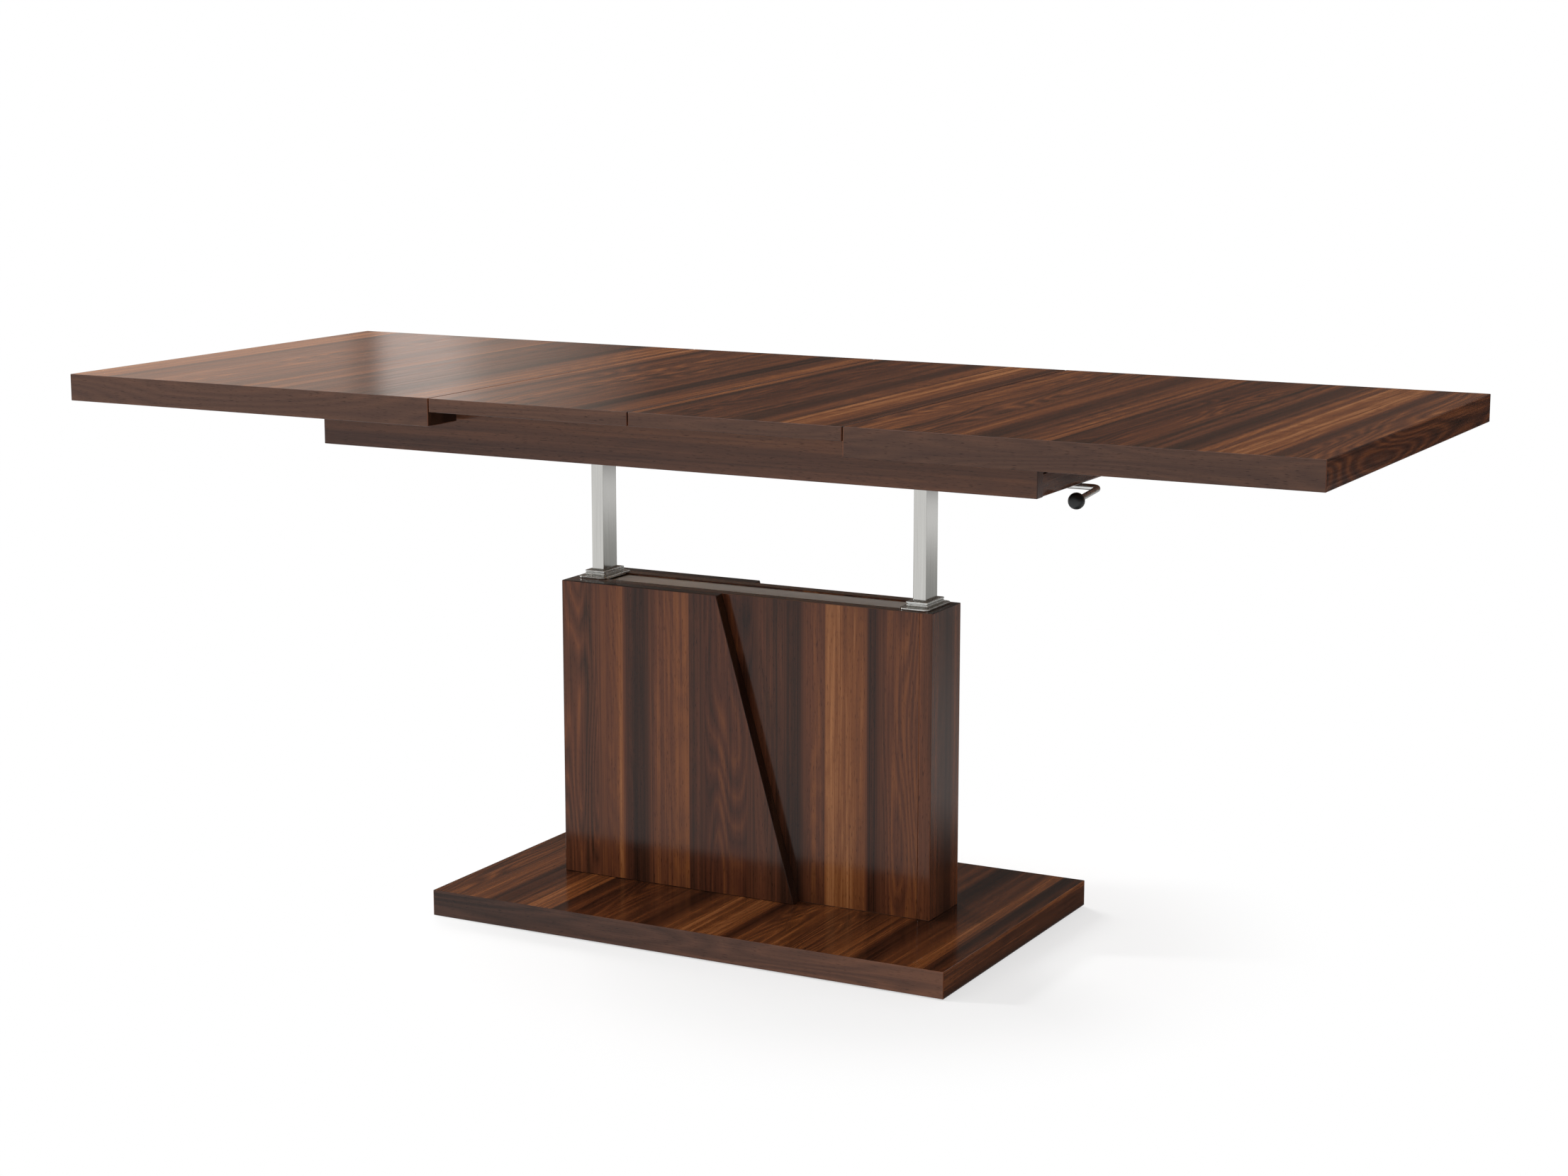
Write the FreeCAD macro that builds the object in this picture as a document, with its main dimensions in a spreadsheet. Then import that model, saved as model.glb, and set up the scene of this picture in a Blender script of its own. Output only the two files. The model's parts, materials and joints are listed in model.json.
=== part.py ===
import FreeCAD, Part
import os
import re
import Sketcher

# Extending lift table, in millimetres. X runs along the table, the front is -Y, Z is up.
# The origin is on the floor, under the middle of the base. The table stands raised and extended.

Vector = FreeCAD.Vector
Constraint = Sketcher.Constraint
X_AXIS = Vector(1, 0, 0)
Y_AXIS = Vector(0, 1, 0)
Z_AXIS = Vector(0, 0, 1)

SIZES = {
    # table top
    "top_height": 739,
    "top_width": 695,
    "half_length": 600,
    "leaf_length": 300,
    "board": 18,
    "seam": 1.5,
    "lip_depth": 19,
    "lip_width": 65,
    "batten_width": 40,
    "batten_height": 15,
    "batten_inset": 45,
    "batten_gap": 3.5,
    # apron frame and slides
    "frame_length": 1046,
    "lip_gap": 9.5,
    "rail_height": 61,
    "rail_thickness": 18,
    "end_rail_inset": 2,
    "leaf_pad_height": 3,
    "leaf_pad_length": 40,
    "leaf_pad_width": 12,
    "runner_width": 16,
    "runner_height": 26,
    "runner_end_gap": 5,
    "slide_gap": 0.5,
    "guide_size": 8,
    "guide_drop": 6,
    "bearer_width": 100,
    "bearer_thickness": 18,
    "corner_block": 32,
    "corner_block_gap": 3.5,
    "dowel_diameter": 8,
    "dowel_in_rail": 12,
    "dowel_in_end": 22,
    "dowel_spread": 30,
    # lift
    "post_breadth": 19,
    "post_depth": 37,
    "post_insert": 150,
    "post_corner": 1.5,
    "tube_wall": 1.5,
    "tube_gap": 0.5,
    "bush_wall": 1.9,
    "bush_length": 60,
    "bush_fit": 0.1,
    "lift_rest_gap": 4,
    "plate_length": 90,
    "plate_width": 120,
    "plate_thickness": 4,
    "screw_diameter": 5,
    "screw_bite": 12,
    "screw_head": 9,
    "screw_head_height": 3,
    "screw_inset": 10,
    "cylinder_gap": 0.5,
    "cylinder_drop": 51,
    "piston_rod": 6,
    "piston_overlap": 45,
    "piston_spare": 10,
    "piston_fit": 0.1,
    "neck_diameter": 10,
    "neck_stand": 3,
    "neck_room": 1,
    "foot_thickness": 6,
    "foot_margin": 2,
    # column and base
    "column_width": 560,
    "column_room": 5,
    "column_height": 418,
    "column_board": 18,
    "raised_board": 18,
    "raised_top_length": 245.5,
    "raised_bottom_length": 364.5,
    "strip_thickness": 2.5,
    "strip_drop": 2.5,
    "base_length": 778,
    "base_width": 468,
    "base_thickness": 36,
    "glide_diameter": 30,
    "glide_height": 2,
    "glide_inset": 45,
    "bolt_diameter": 8,
    "bolt_head": 14,
    "bolt_head_height": 6,
    "bolt_recess": 10,
    "bolt_recess_diameter": 18,
    "bolt_inset": 68.5,
    "bolt_pitch": 110,
    # collars
    "collar_fit": 0.3,
    "ring_margin_x": 6.5,
    "ring_margin_y": 8.5,
    "flange_margin_x": 6,
    "flange_margin_y": 11,
    "flange_corner": 8,
    "flange_height": 3,
    "groove_height": 0.9,
    "groove_depth": 1.2,
    "ridge_height": 2.6,
    # release lever, shaft and valve pins
    "lever_diameter": 8,
    "lever_offset": 112,
    "lever_drop": 6.5,
    "lever_reach": 15,
    "lever_arm": 75,
    "lever_bend": 10,
    "lever_droop": 4.8,
    "knob_diameter": 21,
    "knob_bore": 12,
    "pivot_fit": 0.05,
    "crank_radius": 20,
    "crank_thickness": 6,
    "crank_height": 8,
    "crank_hub": 16,
    "crank_gap": 2,
    "block_length": 14,
    "block_width": 24,
    "block_cover": 3.5,
    "block_spread": 35,
    "shaft_diameter": 8,
    "shaft_rise": 11,
    "shaft_end": 6,
    "shaft_block_offset": 32,
    "finger_reach": 40,
    "finger_tip": 6,
    "finger_width": 8,
    "finger_thickness": 6,
    "peg_diameter": 6,
    "press_gap": 0.4,
    "pin_diameter": 4,
    "pin_sunk": 18,
    "pin_travel": 5,
    # how far every cut runs past the face that it opens
    "overrun": 2,
}

# Places and sizes that follow from the driving ones.
DERIVED = {
    "panel_underside": "=top_height - board",
    "frame_top": "=panel_underside - leaf_pad_height",
    "frame_bottom": "=frame_top - rail_height",
    "frame_width": "=top_width - 2 * (lip_width + lip_gap)",
    "frame_inside": "=frame_width - 2 * rail_thickness",
    "end_rail_x": "=frame_length / 2 - end_rail_inset - rail_thickness / 2",
    "half_inner": "=leaf_length + seam / 2",
    "half_outer": "=leaf_length + half_length",
    "runner_bottom": "=panel_underside - runner_height",
    "runner_y": "=frame_inside / 2 - slide_gap - runner_width / 2",
    "batten_length": "=frame_inside - 2 * (slide_gap + runner_width + batten_gap)",
    "notch_depth": "=frame_top - runner_bottom + slide_gap",
    "tongue_height": "=rail_height - notch_depth",
    "corner_block_height": "=tongue_height - corner_block_gap",
    "guide_top": "=frame_top - guide_drop",
    "bearer_top": "=frame_bottom + bearer_thickness",
    "base_top": "=glide_height + base_thickness",
    "column_top": "=base_top + column_height",
    "tube_inside_x": "=post_breadth + 2 * (bush_wall + bush_fit)",
    "tube_inside_y": "=post_depth + 2 * (bush_wall + bush_fit)",
    "tube_outside_x": "=tube_inside_x + 2 * tube_wall",
    "tube_outside_y": "=tube_inside_y + 2 * tube_wall",
    "cavity": "=tube_outside_y + 2 * column_room",
    "column_depth": "=cavity + 2 * column_board",
    "strip_top": "=column_top - strip_drop",
    "tube_top": "=strip_top - strip_thickness",
    "tube_bottom": "=base_top + foot_thickness",
    "post_spacing": "=column_width - 2 * (column_board + tube_gap) - tube_outside_x",
    "post_x": "=post_spacing / 2",
    "post_top": "=frame_bottom - plate_thickness",
    "post_bottom": "=tube_top - post_insert",
    "collar_top": "=column_top + flange_height + 2 * (groove_height + ridge_height)",
    "lift_travel": "=post_top - screw_head_height - collar_top - lift_rest_gap",
    "bolt_outer": "=post_x - bolt_inset",
    "bolt_inner": "=bolt_outer - bolt_pitch",
    "cylinder_diameter": "=post_breadth - 2 * (tube_wall + cylinder_gap)",
    "cylinder_bottom": "=post_bottom - cylinder_drop",
    "neck_top": "=bearer_top + neck_stand",
    "lever_z": "=frame_bottom - lever_drop",
    "lever_start": "=post_x - bearer_width / 2 - crank_gap - crank_thickness",
    "lever_run": "=frame_length / 2 + lever_reach - lever_start",
    "shaft_z": "=bearer_top + shaft_rise",
    "peg_y": "=lever_offset + crank_radius",
    "pin_top": "=shaft_z - finger_thickness / 2 - press_gap",
}

# Where a leaf's pads are along it, as shares of its length.
PAD_SHARES = (0.25, 0.75)

# How high an end rail's dowels are, as shares of the wood left under its notches.
DOWEL_SHARES = (0.32, 0.69)

doc = FreeCAD.newDocument("extending_lift_table")
sheet = doc.addObject("Spreadsheet::Sheet", "sizes")
ALIASES = {**SIZES, **DERIVED}
for row, (alias, value) in enumerate(ALIASES.items(), start=1):
    sheet.set(f"A{row}", alias)
    sheet.set(f"B{row}", str(value))
    sheet.setAlias(f"B{row}", alias)
doc.recompute()

PARTS = []
SIDES = (("left", -1), ("right", 1))
FACES = (("front", -1), ("back", 1))


def in_sheet(expression):
    """The same expression, with each word that is an alias looked up in the sheet."""
    def lookup(match):
        word = match.group()
        return f"sizes.{word}" if word in ALIASES else word
    return re.sub(r"[a-z_]+", lookup, expression)


def bind(item, prop, expression):
    """Tie a property to the sheet."""
    item.setExpression(prop, in_sheet(expression))


def number(expression):
    """What an expression comes to with the sheet's present sizes."""
    return float(sheet.evalExpression(in_sheet(expression)))


def place(item, x="0", y="0", z="0", axis=Z_AXIS, turn="0"):
    """Put an item at a place worked out from the sheet, turned about one axis."""
    item.Placement = FreeCAD.Placement(Vector(), FreeCAD.Rotation(axis, 1))
    for name, expression in zip("xyz", (x, y, z)):
        bind(item, f"Placement.Base.{name}", expression)
    bind(item, "Placement.Rotation.Angle", f"({turn}) * 1 deg")


def keep(item):
    """Count an item as one of the table's sub-parts."""
    PARTS.append(item)
    return item


# Sketches and features of a body


def new_sketch(body, name, plane, offset):
    """A sketch on one of the body's own planes, moved by an offset in the sketch's axes."""
    sketch = body.newObject("Sketcher::SketchObject", f"{body.Label}_{name}")
    support = [item for item in body.Origin.OriginFeatures if item.Role == plane]
    sketch.AttachmentSupport = [(support[0], "")]
    sketch.MapMode = "FlatFace"
    for axis, expression in zip("xyz", offset):
        bind(sketch, f"AttachmentOffset.Base.{axis}", expression)
    return sketch


def size(sketch, kind, *where):
    """Add one constraint whose value is an expression, the last argument."""
    index = sketch.addConstraint(Constraint(kind, *where[:-1], number(where[-1])))
    bind(sketch, f"Constraints[{index}]", where[-1])


def closed_outline(sketch, points):
    """Straight edges through the points, joined end to end."""
    count = len(points)
    for index in range(count):
        start = Vector(*points[index], 0)
        end = Vector(*points[(index + 1) % count], 0)
        sketch.addGeometry(Part.LineSegment(start, end))
    for index in range(count):
        sketch.addConstraint(Constraint("Coincident", index, 2, (index + 1) % count, 1))


def rectangle(body, name, length, width, plane="XY_Plane", offset=("0", "0", "0")):
    """A rectangle centred on the sketch's origin."""
    sketch = new_sketch(body, name, plane, offset)
    x = number(length) / 2
    y = number(width) / 2
    closed_outline(sketch, [(-x, -y), (x, -y), (x, y), (-x, y)])
    for edge, kind in ((0, "Horizontal"), (1, "Vertical"), (2, "Horizontal"), (3, "Vertical")):
        sketch.addConstraint(Constraint(kind, edge))
    sketch.addConstraint(Constraint("Symmetric", 0, 1, 2, 1, -1, 1))
    size(sketch, "DistanceX", 0, 1, 0, 2, length)
    size(sketch, "DistanceY", 1, 1, 1, 2, width)
    return sketch


def circle(body, name, diameter, plane="XY_Plane", offset=("0", "0", "0")):
    """A circle on the sketch's origin."""
    sketch = new_sketch(body, name, plane, offset)
    sketch.addGeometry(Part.Circle(Vector(), Z_AXIS, number(diameter) / 2))
    sketch.addConstraint(Constraint("Coincident", 0, 3, -1, 1))
    size(sketch, "Diameter", 0, diameter)
    return sketch


def pad(body, sketch, height):
    """Raise a sketch along its normal."""
    feature = body.newObject("PartDesign::Pad", f"{sketch.Name}_pad")
    feature.Profile = sketch
    bind(feature, "Length", height)
    return feature


def pocket(body, sketch, depth, reverse=False):
    """Cut a sketch into the body, against its normal unless reversed."""
    feature = body.newObject("PartDesign::Pocket", f"{sketch.Name}_pocket")
    feature.Profile = sketch
    feature.Reversed = reverse
    bind(feature, "Length", depth)
    return feature


def slab(label, length, width, height):
    """A body that starts as a block standing on its own origin."""
    body = doc.addObject("PartDesign::Body", label)
    pad(body, rectangle(body, "outline", length, width), height)
    return keep(body)


def round_uprights(body, radius):
    """Round the upright edges that the body has so far."""
    doc.recompute()
    solid = body.Tip
    edges = enumerate(solid.Shape.Edges, start=1)
    upright = [f"Edge{index}" for index, edge in edges if abs(edge.tangentAt(0).z) > 0.5]
    feature = body.newObject("PartDesign::Fillet", f"{body.Label}_round")
    feature.Base = (solid, upright)
    bind(feature, "Radius", radius)


def hole_up(body, name, diameter, x, y, depth):
    """A round hole from the body's underside upwards."""
    spot = circle(body, name, diameter, offset=(x, y, "-overrun"))
    pocket(body, spot, f"{depth} + overrun", reverse=True)


def hole_across(body, name, x, z, face, sign, depth):
    """A dowel hole from a face at y = face, going towards sign along Y."""
    start = f"-({face} - {sign} * overrun)"
    spot = circle(body, name, "dowel_diameter", "XZ_Plane", (x, z, start))
    pocket(body, spot, f"{depth} + overrun", reverse=sign < 0)


# Plain solids and groups of them


def block(length, width, height, x, y, z):
    """A box whose lowest corner is at a place worked out from the sheet."""
    item = doc.addObject("Part::Box", "block")
    for prop, expression in (("Length", length), ("Width", width), ("Height", height)):
        bind(item, prop, expression)
    place(item, x, y, z)
    return item


def bar(diameter, length, x, y, z, axis="Z"):
    """A round bar that starts at a place and runs along one axis."""
    item = doc.addObject("Part::Cylinder", "bar")
    bind(item, "Radius", f"({diameter}) / 2")
    bind(item, "Height", length)
    about, turn = {"X": (Y_AXIS, "90"), "Y": (X_AXIS, "-90"), "Z": (Z_AXIS, "0")}[axis]
    place(item, x, y, z, about, turn)
    return item


def fused(label, pieces):
    """Pieces joined to one solid."""
    item = doc.addObject("Part::MultiFuse", label)
    item.Shapes = pieces
    return item


def cut(label, solid, tool):
    """One solid less another."""
    item = doc.addObject("Part::Cut", label)
    item.Base = solid
    item.Tool = tool
    return item


def group(label, pieces):
    """Separate like pieces under one name."""
    item = doc.addObject("Part::Compound", label)
    item.Links = pieces
    return keep(item)


# Base and column


def base():
    """The base plate with its counterbored bolt holes, the bolts and the glides."""
    plate = slab("base_plate", "base_length", "base_width", "base_thickness")
    place(plate, z="glide_height")
    bolts = []
    for index, spot in enumerate(("-bolt_outer", "-bolt_inner", "bolt_inner", "bolt_outer")):
        hole_up(plate, f"recess_{index}", "bolt_recess_diameter", spot, "0", "bolt_recess")
        hole_up(plate, f"bolt_{index}", "bolt_diameter", spot, "0", "base_thickness + overrun")
        seat = "glide_height + bolt_recess"
        shank = bar("bolt_diameter", "tube_bottom - glide_height - bolt_recess", spot, "0", seat)
        head = bar("bolt_head", "bolt_head_height", spot, "0", f"{seat} - bolt_head_height")
        bolts.append(fused(f"bolt_{index}", [shank, head]))
    group("base_bolts", bolts)
    glides = []
    for x in ("-1", "0", "1"):
        for y in ("-1", "1"):
            spot = (f"{x} * (base_length / 2 - glide_inset)", f"{y} * (base_width / 2 - glide_inset)")
            glides.append(bar("glide_diameter", "glide_height", *spot, "0"))
    group("base_glides", glides)


def column():
    """Two side boards with the front and back panel between them."""
    for side, sign in SIDES:
        board = slab(f"column_{side}_side", "column_board", "column_depth", "column_height")
        place(board, f"{sign} * (column_width - column_board) / 2", "0", "base_top")
    for face, sign in FACES:
        width = "column_width - 2 * column_board"
        panel = slab(f"column_{face}_panel", width, "column_board", "column_height")
        place(panel, "0", f"{sign} * (column_depth - column_board) / 2", "base_top")


def raised_panel(face, y):
    """A panel on the column's face, with a right edge that slants outwards to the foot."""
    body = doc.addObject("PartDesign::Body", f"raised_{face}_panel")
    sketch = new_sketch(body, "outline", "XZ_Plane", ("0", "0", "0"))
    foot = number("raised_bottom_length")
    head = number("raised_top_length")
    height = number("column_height")
    closed_outline(sketch, [(0, 0), (foot, 0), (head, height), (0, height)])
    sketch.addConstraint(Constraint("Coincident", 0, 1, -1, 1))
    for edge, kind in ((0, "Horizontal"), (2, "Horizontal"), (3, "Vertical")):
        sketch.addConstraint(Constraint(kind, edge))
    size(sketch, "DistanceX", 0, 1, 0, 2, "raised_bottom_length")
    size(sketch, "DistanceX", 2, 2, 2, 1, "raised_top_length")
    size(sketch, "DistanceY", 3, 2, 3, 1, "column_height")
    pad(body, sketch, "raised_board")
    place(body, "-column_width / 2", y, "base_top")
    keep(body)


def tie_strip():
    """The metal strip that closes the column's top, with an opening for each post."""
    width = "column_width - 2 * column_board"
    strip = slab("tie_strip", width, "cavity", "strip_thickness")
    for side, sign in SIDES:
        hole = rectangle(strip, f"{side}_opening", "post_breadth + 2 * collar_fit",
                         "post_depth + 2 * collar_fit",
                         offset=(f"{sign} * post_x", "0", "strip_thickness + overrun"))
        pocket(strip, hole, "strip_thickness + 2 * overrun")
    place(strip, z="tube_top")


def collar(side, sign):
    """A stepped escutcheon round a post: a flange with cut corners, then ridges and grooves."""
    ring_x = "post_breadth + 2 * ring_margin_x"
    ring_y = "post_depth + 2 * ring_margin_y"
    body = slab(f"{side}_collar", f"{ring_x} + 2 * flange_margin_x",
                f"{ring_y} + 2 * flange_margin_y", "flange_height")
    round_uprights(body, "flange_corner")
    level = "flange_height"
    steps = (("groove_height", "groove_depth"), ("ridge_height", "0"),
             ("groove_height", "groove_depth"), ("ridge_height", "0"))
    for index, (height, inset) in enumerate(steps):
        step = rectangle(body, f"step_{index}", f"{ring_x} - 2 * {inset}",
                         f"{ring_y} - 2 * {inset}", offset=("0", "0", level))
        pad(body, step, height)
        level = f"{level} + {height}"
    throat = rectangle(body, "throat", "post_breadth + 2 * collar_fit",
                       "post_depth + 2 * collar_fit", offset=("0", "0", f"{level} + overrun"))
    pocket(body, throat, f"{level} + 2 * overrun")
    place(body, f"{sign} * post_x", "0", "column_top")


# Lift


def tube(label, breadth, depth, height, bore_breadth, bore_depth):
    """A rectangular tube with rounded corners."""
    body = slab(label, breadth, depth, height)
    round_uprights(body, "post_corner")
    bore = rectangle(body, "bore", bore_breadth, bore_depth,
                     offset=("0", "0", f"{height} + overrun"))
    pocket(body, bore, f"{height} + 2 * overrun")
    return body


def lift_foot():
    """The steel plate under both outer tubes, drilled for the base bolts."""
    length = "post_spacing + tube_outside_x"
    plate = slab("lift_foot_plate", length, "cavity - 2 * foot_margin", "foot_thickness")
    for index, spot in enumerate(("-bolt_outer", "-bolt_inner", "bolt_inner", "bolt_outer")):
        hole_up(plate, f"bolt_{index}", "bolt_diameter", spot, "0", "foot_thickness + overrun")
    place(plate, z="base_top")


def lift_side(side, sign):
    """One outer tube of the base and the post that slides in it, with the post's top plate."""
    spot = f"{sign} * post_x"
    outer = tube(f"{side}_outer_tube", "tube_outside_x", "tube_outside_y",
                 "tube_top - tube_bottom", "tube_inside_x", "tube_inside_y")
    place(outer, spot, "0", "tube_bottom")
    post = tube(f"{side}_post", "post_breadth", "post_depth", "post_top - post_bottom",
                "post_breadth - 2 * tube_wall", "post_depth - 2 * tube_wall")
    place(post, spot, "0", "post_bottom")
    plate = slab(f"{side}_post_plate", "plate_length", "plate_width", "plate_thickness")
    hole_up(plate, "neck", "neck_diameter + 2 * neck_room", "0", "0", "plate_thickness + overrun")
    for index, (x, y) in enumerate(screw_spots()):
        hole_up(plate, f"screw_{index}", "screw_diameter", x, y, "plate_thickness + overrun")
    place(plate, spot, "0", "post_top")


def screw_spots():
    """Where a post plate's four screws are, from the middle of the plate."""
    spots = []
    for x in (-1, 1):
        for y in (-1, 1):
            spots.append((f"{x} * (plate_length / 2 - screw_inset)",
                          f"{y} * (plate_width / 2 - screw_inset)"))
    return spots


def guide_bushes():
    """The plastic liners that the posts run in, at the top of the outer tubes."""
    bushes = []
    for side, sign in SIDES:
        spot = f"{sign} * post_x"
        z = "tube_top - bush_length"
        shell = block("tube_inside_x", "tube_inside_y", "bush_length",
                      f"{spot} - tube_inside_x / 2", "-tube_inside_y / 2", z)
        bore_x = "post_breadth + 2 * bush_fit"
        bore_y = "post_depth + 2 * bush_fit"
        bore = block(bore_x, bore_y, "bush_length + 2 * overrun", f"{spot} - ({bore_x}) / 2",
                     f"-({bore_y}) / 2", f"{z} - overrun")
        bushes.append(cut(f"{side}_bush", shell, bore))
    group("guide_bushes", bushes)


def gas_springs():
    """The piston rods on the foot plate, and the cylinders that hang from the post plates."""
    rods = []
    cylinders = []
    for side, sign in SIDES:
        spot = f"{sign} * post_x"
        rods.append(bar("piston_rod", "cylinder_bottom + piston_overlap - tube_bottom",
                        spot, "0", "tube_bottom"))
        shell = bar("cylinder_diameter", "post_top - cylinder_bottom", spot, "0", "cylinder_bottom")
        neck = bar("neck_diameter", "neck_top - post_top", spot, "0", "post_top")
        stroke = bar("piston_rod + 2 * piston_fit",
                     "piston_overlap + lift_travel + piston_spare + overrun",
                     spot, "0", "cylinder_bottom - overrun")
        valve = bar("pin_diameter + 2 * pivot_fit", "pin_sunk + pin_travel + overrun",
                    spot, "0", "neck_top - pin_sunk - pin_travel")
        body = fused(f"{side}_shell", [shell, neck])
        cylinders.append(cut(f"{side}_cylinder", body, fused(f"{side}_bores", [stroke, valve])))
    group("piston_rods", rods)
    group("gas_cylinders", cylinders)


# Apron frame


def dowel_heights():
    """Two heights above the frame's underside for the dowels of an end rail."""
    return [f"tongue_height * {share}" for share in DOWEL_SHARES]


def rails():
    """The front and back rail, drilled on their inner faces, with a guide strip on each."""
    for face, sign in FACES:
        rail = slab(f"{face}_rail", "frame_length", "rail_thickness", "rail_height")
        inner = f"{-sign} * rail_thickness / 2"
        for side, end in SIDES:
            for index, z in enumerate(dowel_heights()):
                hole_across(rail, f"{side}_end_{index}", f"{end} * end_rail_x", z, inner, sign,
                            "dowel_in_rail")
            for index, spread in enumerate(("-dowel_spread", "dowel_spread")):
                x = f"{end} * post_x + {spread}"
                hole_across(rail, f"{side}_bearer_{index}", x, "bearer_thickness / 2", inner, sign,
                            "dowel_in_rail")
        place(rail, "0", f"{sign} * (frame_width - rail_thickness) / 2", "frame_bottom")
        strip = slab(f"{face}_guide_strip", "frame_length - 2 * end_rail_inset",
                     "guide_size", "guide_size")
        place(strip, "0", f"{sign} * (frame_inside - guide_size) / 2", "guide_top - guide_size")


def end_rail(side, sign):
    """An end rail between the long rails, notched at its top corners for the runners."""
    rail = slab(f"{side}_end_rail", "rail_thickness", "frame_inside", "rail_height")
    notch = "runner_width + 2 * slide_gap"
    for face, way in FACES:
        opening = rectangle(rail, f"{face}_notch", "rail_thickness + 2 * overrun",
                            f"{notch} + overrun",
                            offset=("0", f"{way} * (frame_inside - ({notch}) + overrun) / 2",
                                    "rail_height + overrun"))
        pocket(rail, opening, "notch_depth + overrun")
        for index, z in enumerate(dowel_heights()):
            hole_across(rail, f"{face}_dowel_{index}", "0", z, f"{way} * frame_inside / 2", -way,
                        "dowel_in_end")
    place(rail, f"{sign} * end_rail_x", "0", "frame_bottom")


def bearer(side, sign):
    """A cross board between the long rails, which the post plate is screwed to."""
    board = slab(f"{side}_bearer", "bearer_width", "frame_inside", "bearer_thickness")
    hole_up(board, "neck", "neck_diameter + 2 * neck_room", "0", "0", "bearer_thickness + overrun")
    for index, (x, y) in enumerate(screw_spots()):
        hole_up(board, f"screw_{index}", "screw_diameter", x, y, "screw_bite")
    for face, way in FACES:
        for index, spread in enumerate(("-dowel_spread", "dowel_spread")):
            hole_across(board, f"{face}_dowel_{index}", spread, "bearer_thickness / 2",
                        f"{way} * frame_inside / 2", -way, "dowel_in_end")
    place(board, f"{sign} * post_x", "0", "frame_bottom")


def frame_hardware():
    """The plate screws, dowels, corner blocks and leaf pads of the frame."""
    screws = []
    dowels = []
    corners = []
    pads = []
    for _, sign in SIDES:
        for x, y in screw_spots():
            spot = (f"{sign} * post_x + {x}", y)
            shank = bar("screw_diameter", "plate_thickness + screw_bite", *spot, "post_top")
            head = bar("screw_head", "screw_head_height", *spot, "post_top - screw_head_height")
            screws.append(fused("screw", [shank, head]))
        places = [(f"{sign} * end_rail_x", f"frame_bottom + {z}") for z in dowel_heights()]
        for spread in ("-dowel_spread", "dowel_spread"):
            places.append((f"{sign} * post_x + {spread}", "frame_bottom + bearer_thickness / 2"))
        for _, way in FACES:
            start = "-frame_inside / 2 - dowel_in_rail" if way < 0 else "frame_inside / 2 - dowel_in_end"
            for x, z in places:
                dowels.append(bar("dowel_diameter", "dowel_in_rail + dowel_in_end", x, start, z, "Y"))
            x = f"{sign} * (end_rail_x - rail_thickness / 2 - corner_block / 2) - corner_block / 2"
            y = f"{way} * (frame_inside - corner_block) / 2 - corner_block / 2"
            corners.append(block("corner_block", "corner_block", "corner_block_height",
                                 x, y, "frame_bottom"))
            for share in PAD_SHARES:
                x = f"{sign} * leaf_length * {share} - leaf_pad_length / 2"
                y = f"{way} * (frame_width - rail_thickness) / 2 - leaf_pad_width / 2"
                pads.append(block("leaf_pad_length", "leaf_pad_width", "leaf_pad_height",
                                  x, y, "frame_top"))
    group("plate_screws", screws)
    group("frame_dowels", dowels)
    group("corner_blocks", corners)
    group("leaf_pads", pads)


# Release lever, shaft and valve pins


def pivot_block(label, x, y, z, height, axis_z, diameter):
    """A small bearing block, bored along X for a rod."""
    solid = block("block_length", "block_width", height,
                  f"{x} - block_length / 2", f"{y} - block_width / 2", z)
    bore = bar(f"{diameter} + 2 * pivot_fit", "block_length + 2 * overrun",
               f"{x} - block_length / 2 - overrun", y, axis_z, "X")
    return cut(label, solid, bore)


def pivot_blocks():
    """The lever's blocks under the right bearer, and the shaft's blocks on both bearers."""
    height = "lever_drop + lever_diameter / 2 + block_cover"
    under = []
    over = []
    for side, sign in SIDES:
        under.append(pivot_block(f"{side}_lever_block", f"post_x + {sign} * block_spread",
                                 "-lever_offset", f"frame_bottom - ({height})", height,
                                 "lever_z", "lever_diameter"))
        over.append(pivot_block(f"{side}_shaft_block", f"{sign} * (post_x - shaft_block_offset)",
                                "-finger_reach", "bearer_top",
                                "shaft_rise + shaft_diameter / 2 + block_cover",
                                "shaft_z", "shaft_diameter"))
    group("lever_blocks", under)
    group("shaft_blocks", over)


def lever_rod():
    """The round rod: along X under the end rail, then bent forwards to the knob."""
    body = doc.addObject("PartDesign::Body", "lever_rod")
    section = circle(body, "section", "lever_diameter", "YZ_Plane")
    path = new_sketch(body, "path", "XY_Plane", ("0", "0", "0"))
    arm = "lever_arm - knob_diameter / 2 + knob_bore"
    run = number("lever_run")
    bend = number("lever_bend")
    reach = number(arm)
    corner = Vector(run - bend, -bend, 0)
    middle = corner + Vector(1, 1, 0).normalize() * bend
    path.addGeometry(Part.LineSegment(Vector(), corner + Vector(0, bend, 0)))
    path.addGeometry(Part.Arc(corner + Vector(0, bend, 0), middle, corner + Vector(bend, 0, 0)))
    path.addGeometry(Part.LineSegment(corner + Vector(bend, 0, 0), Vector(run, -reach, 0)))
    path.addConstraint(Constraint("Coincident", 0, 1, -1, 1))
    path.addConstraint(Constraint("Horizontal", 0))
    path.addConstraint(Constraint("Vertical", 2))
    path.addConstraint(Constraint("Tangent", 0, 2, 1, 2))
    path.addConstraint(Constraint("Tangent", 1, 1, 2, 1))
    size(path, "Radius", 1, "lever_bend")
    size(path, "DistanceX", 0, 1, 2, 2, "lever_run")
    size(path, "DistanceY", 2, 2, 0, 1, arm)
    pipe = body.newObject("PartDesign::AdditivePipe", "lever_rod_pipe")
    pipe.Profile = section
    doc.recompute()
    pipe.Spine = (path, ["Edge1", "Edge2", "Edge3"])
    place(body, "lever_start", "-lever_offset", "lever_z", X_AXIS, "lever_droop")
    keep(body)


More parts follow.
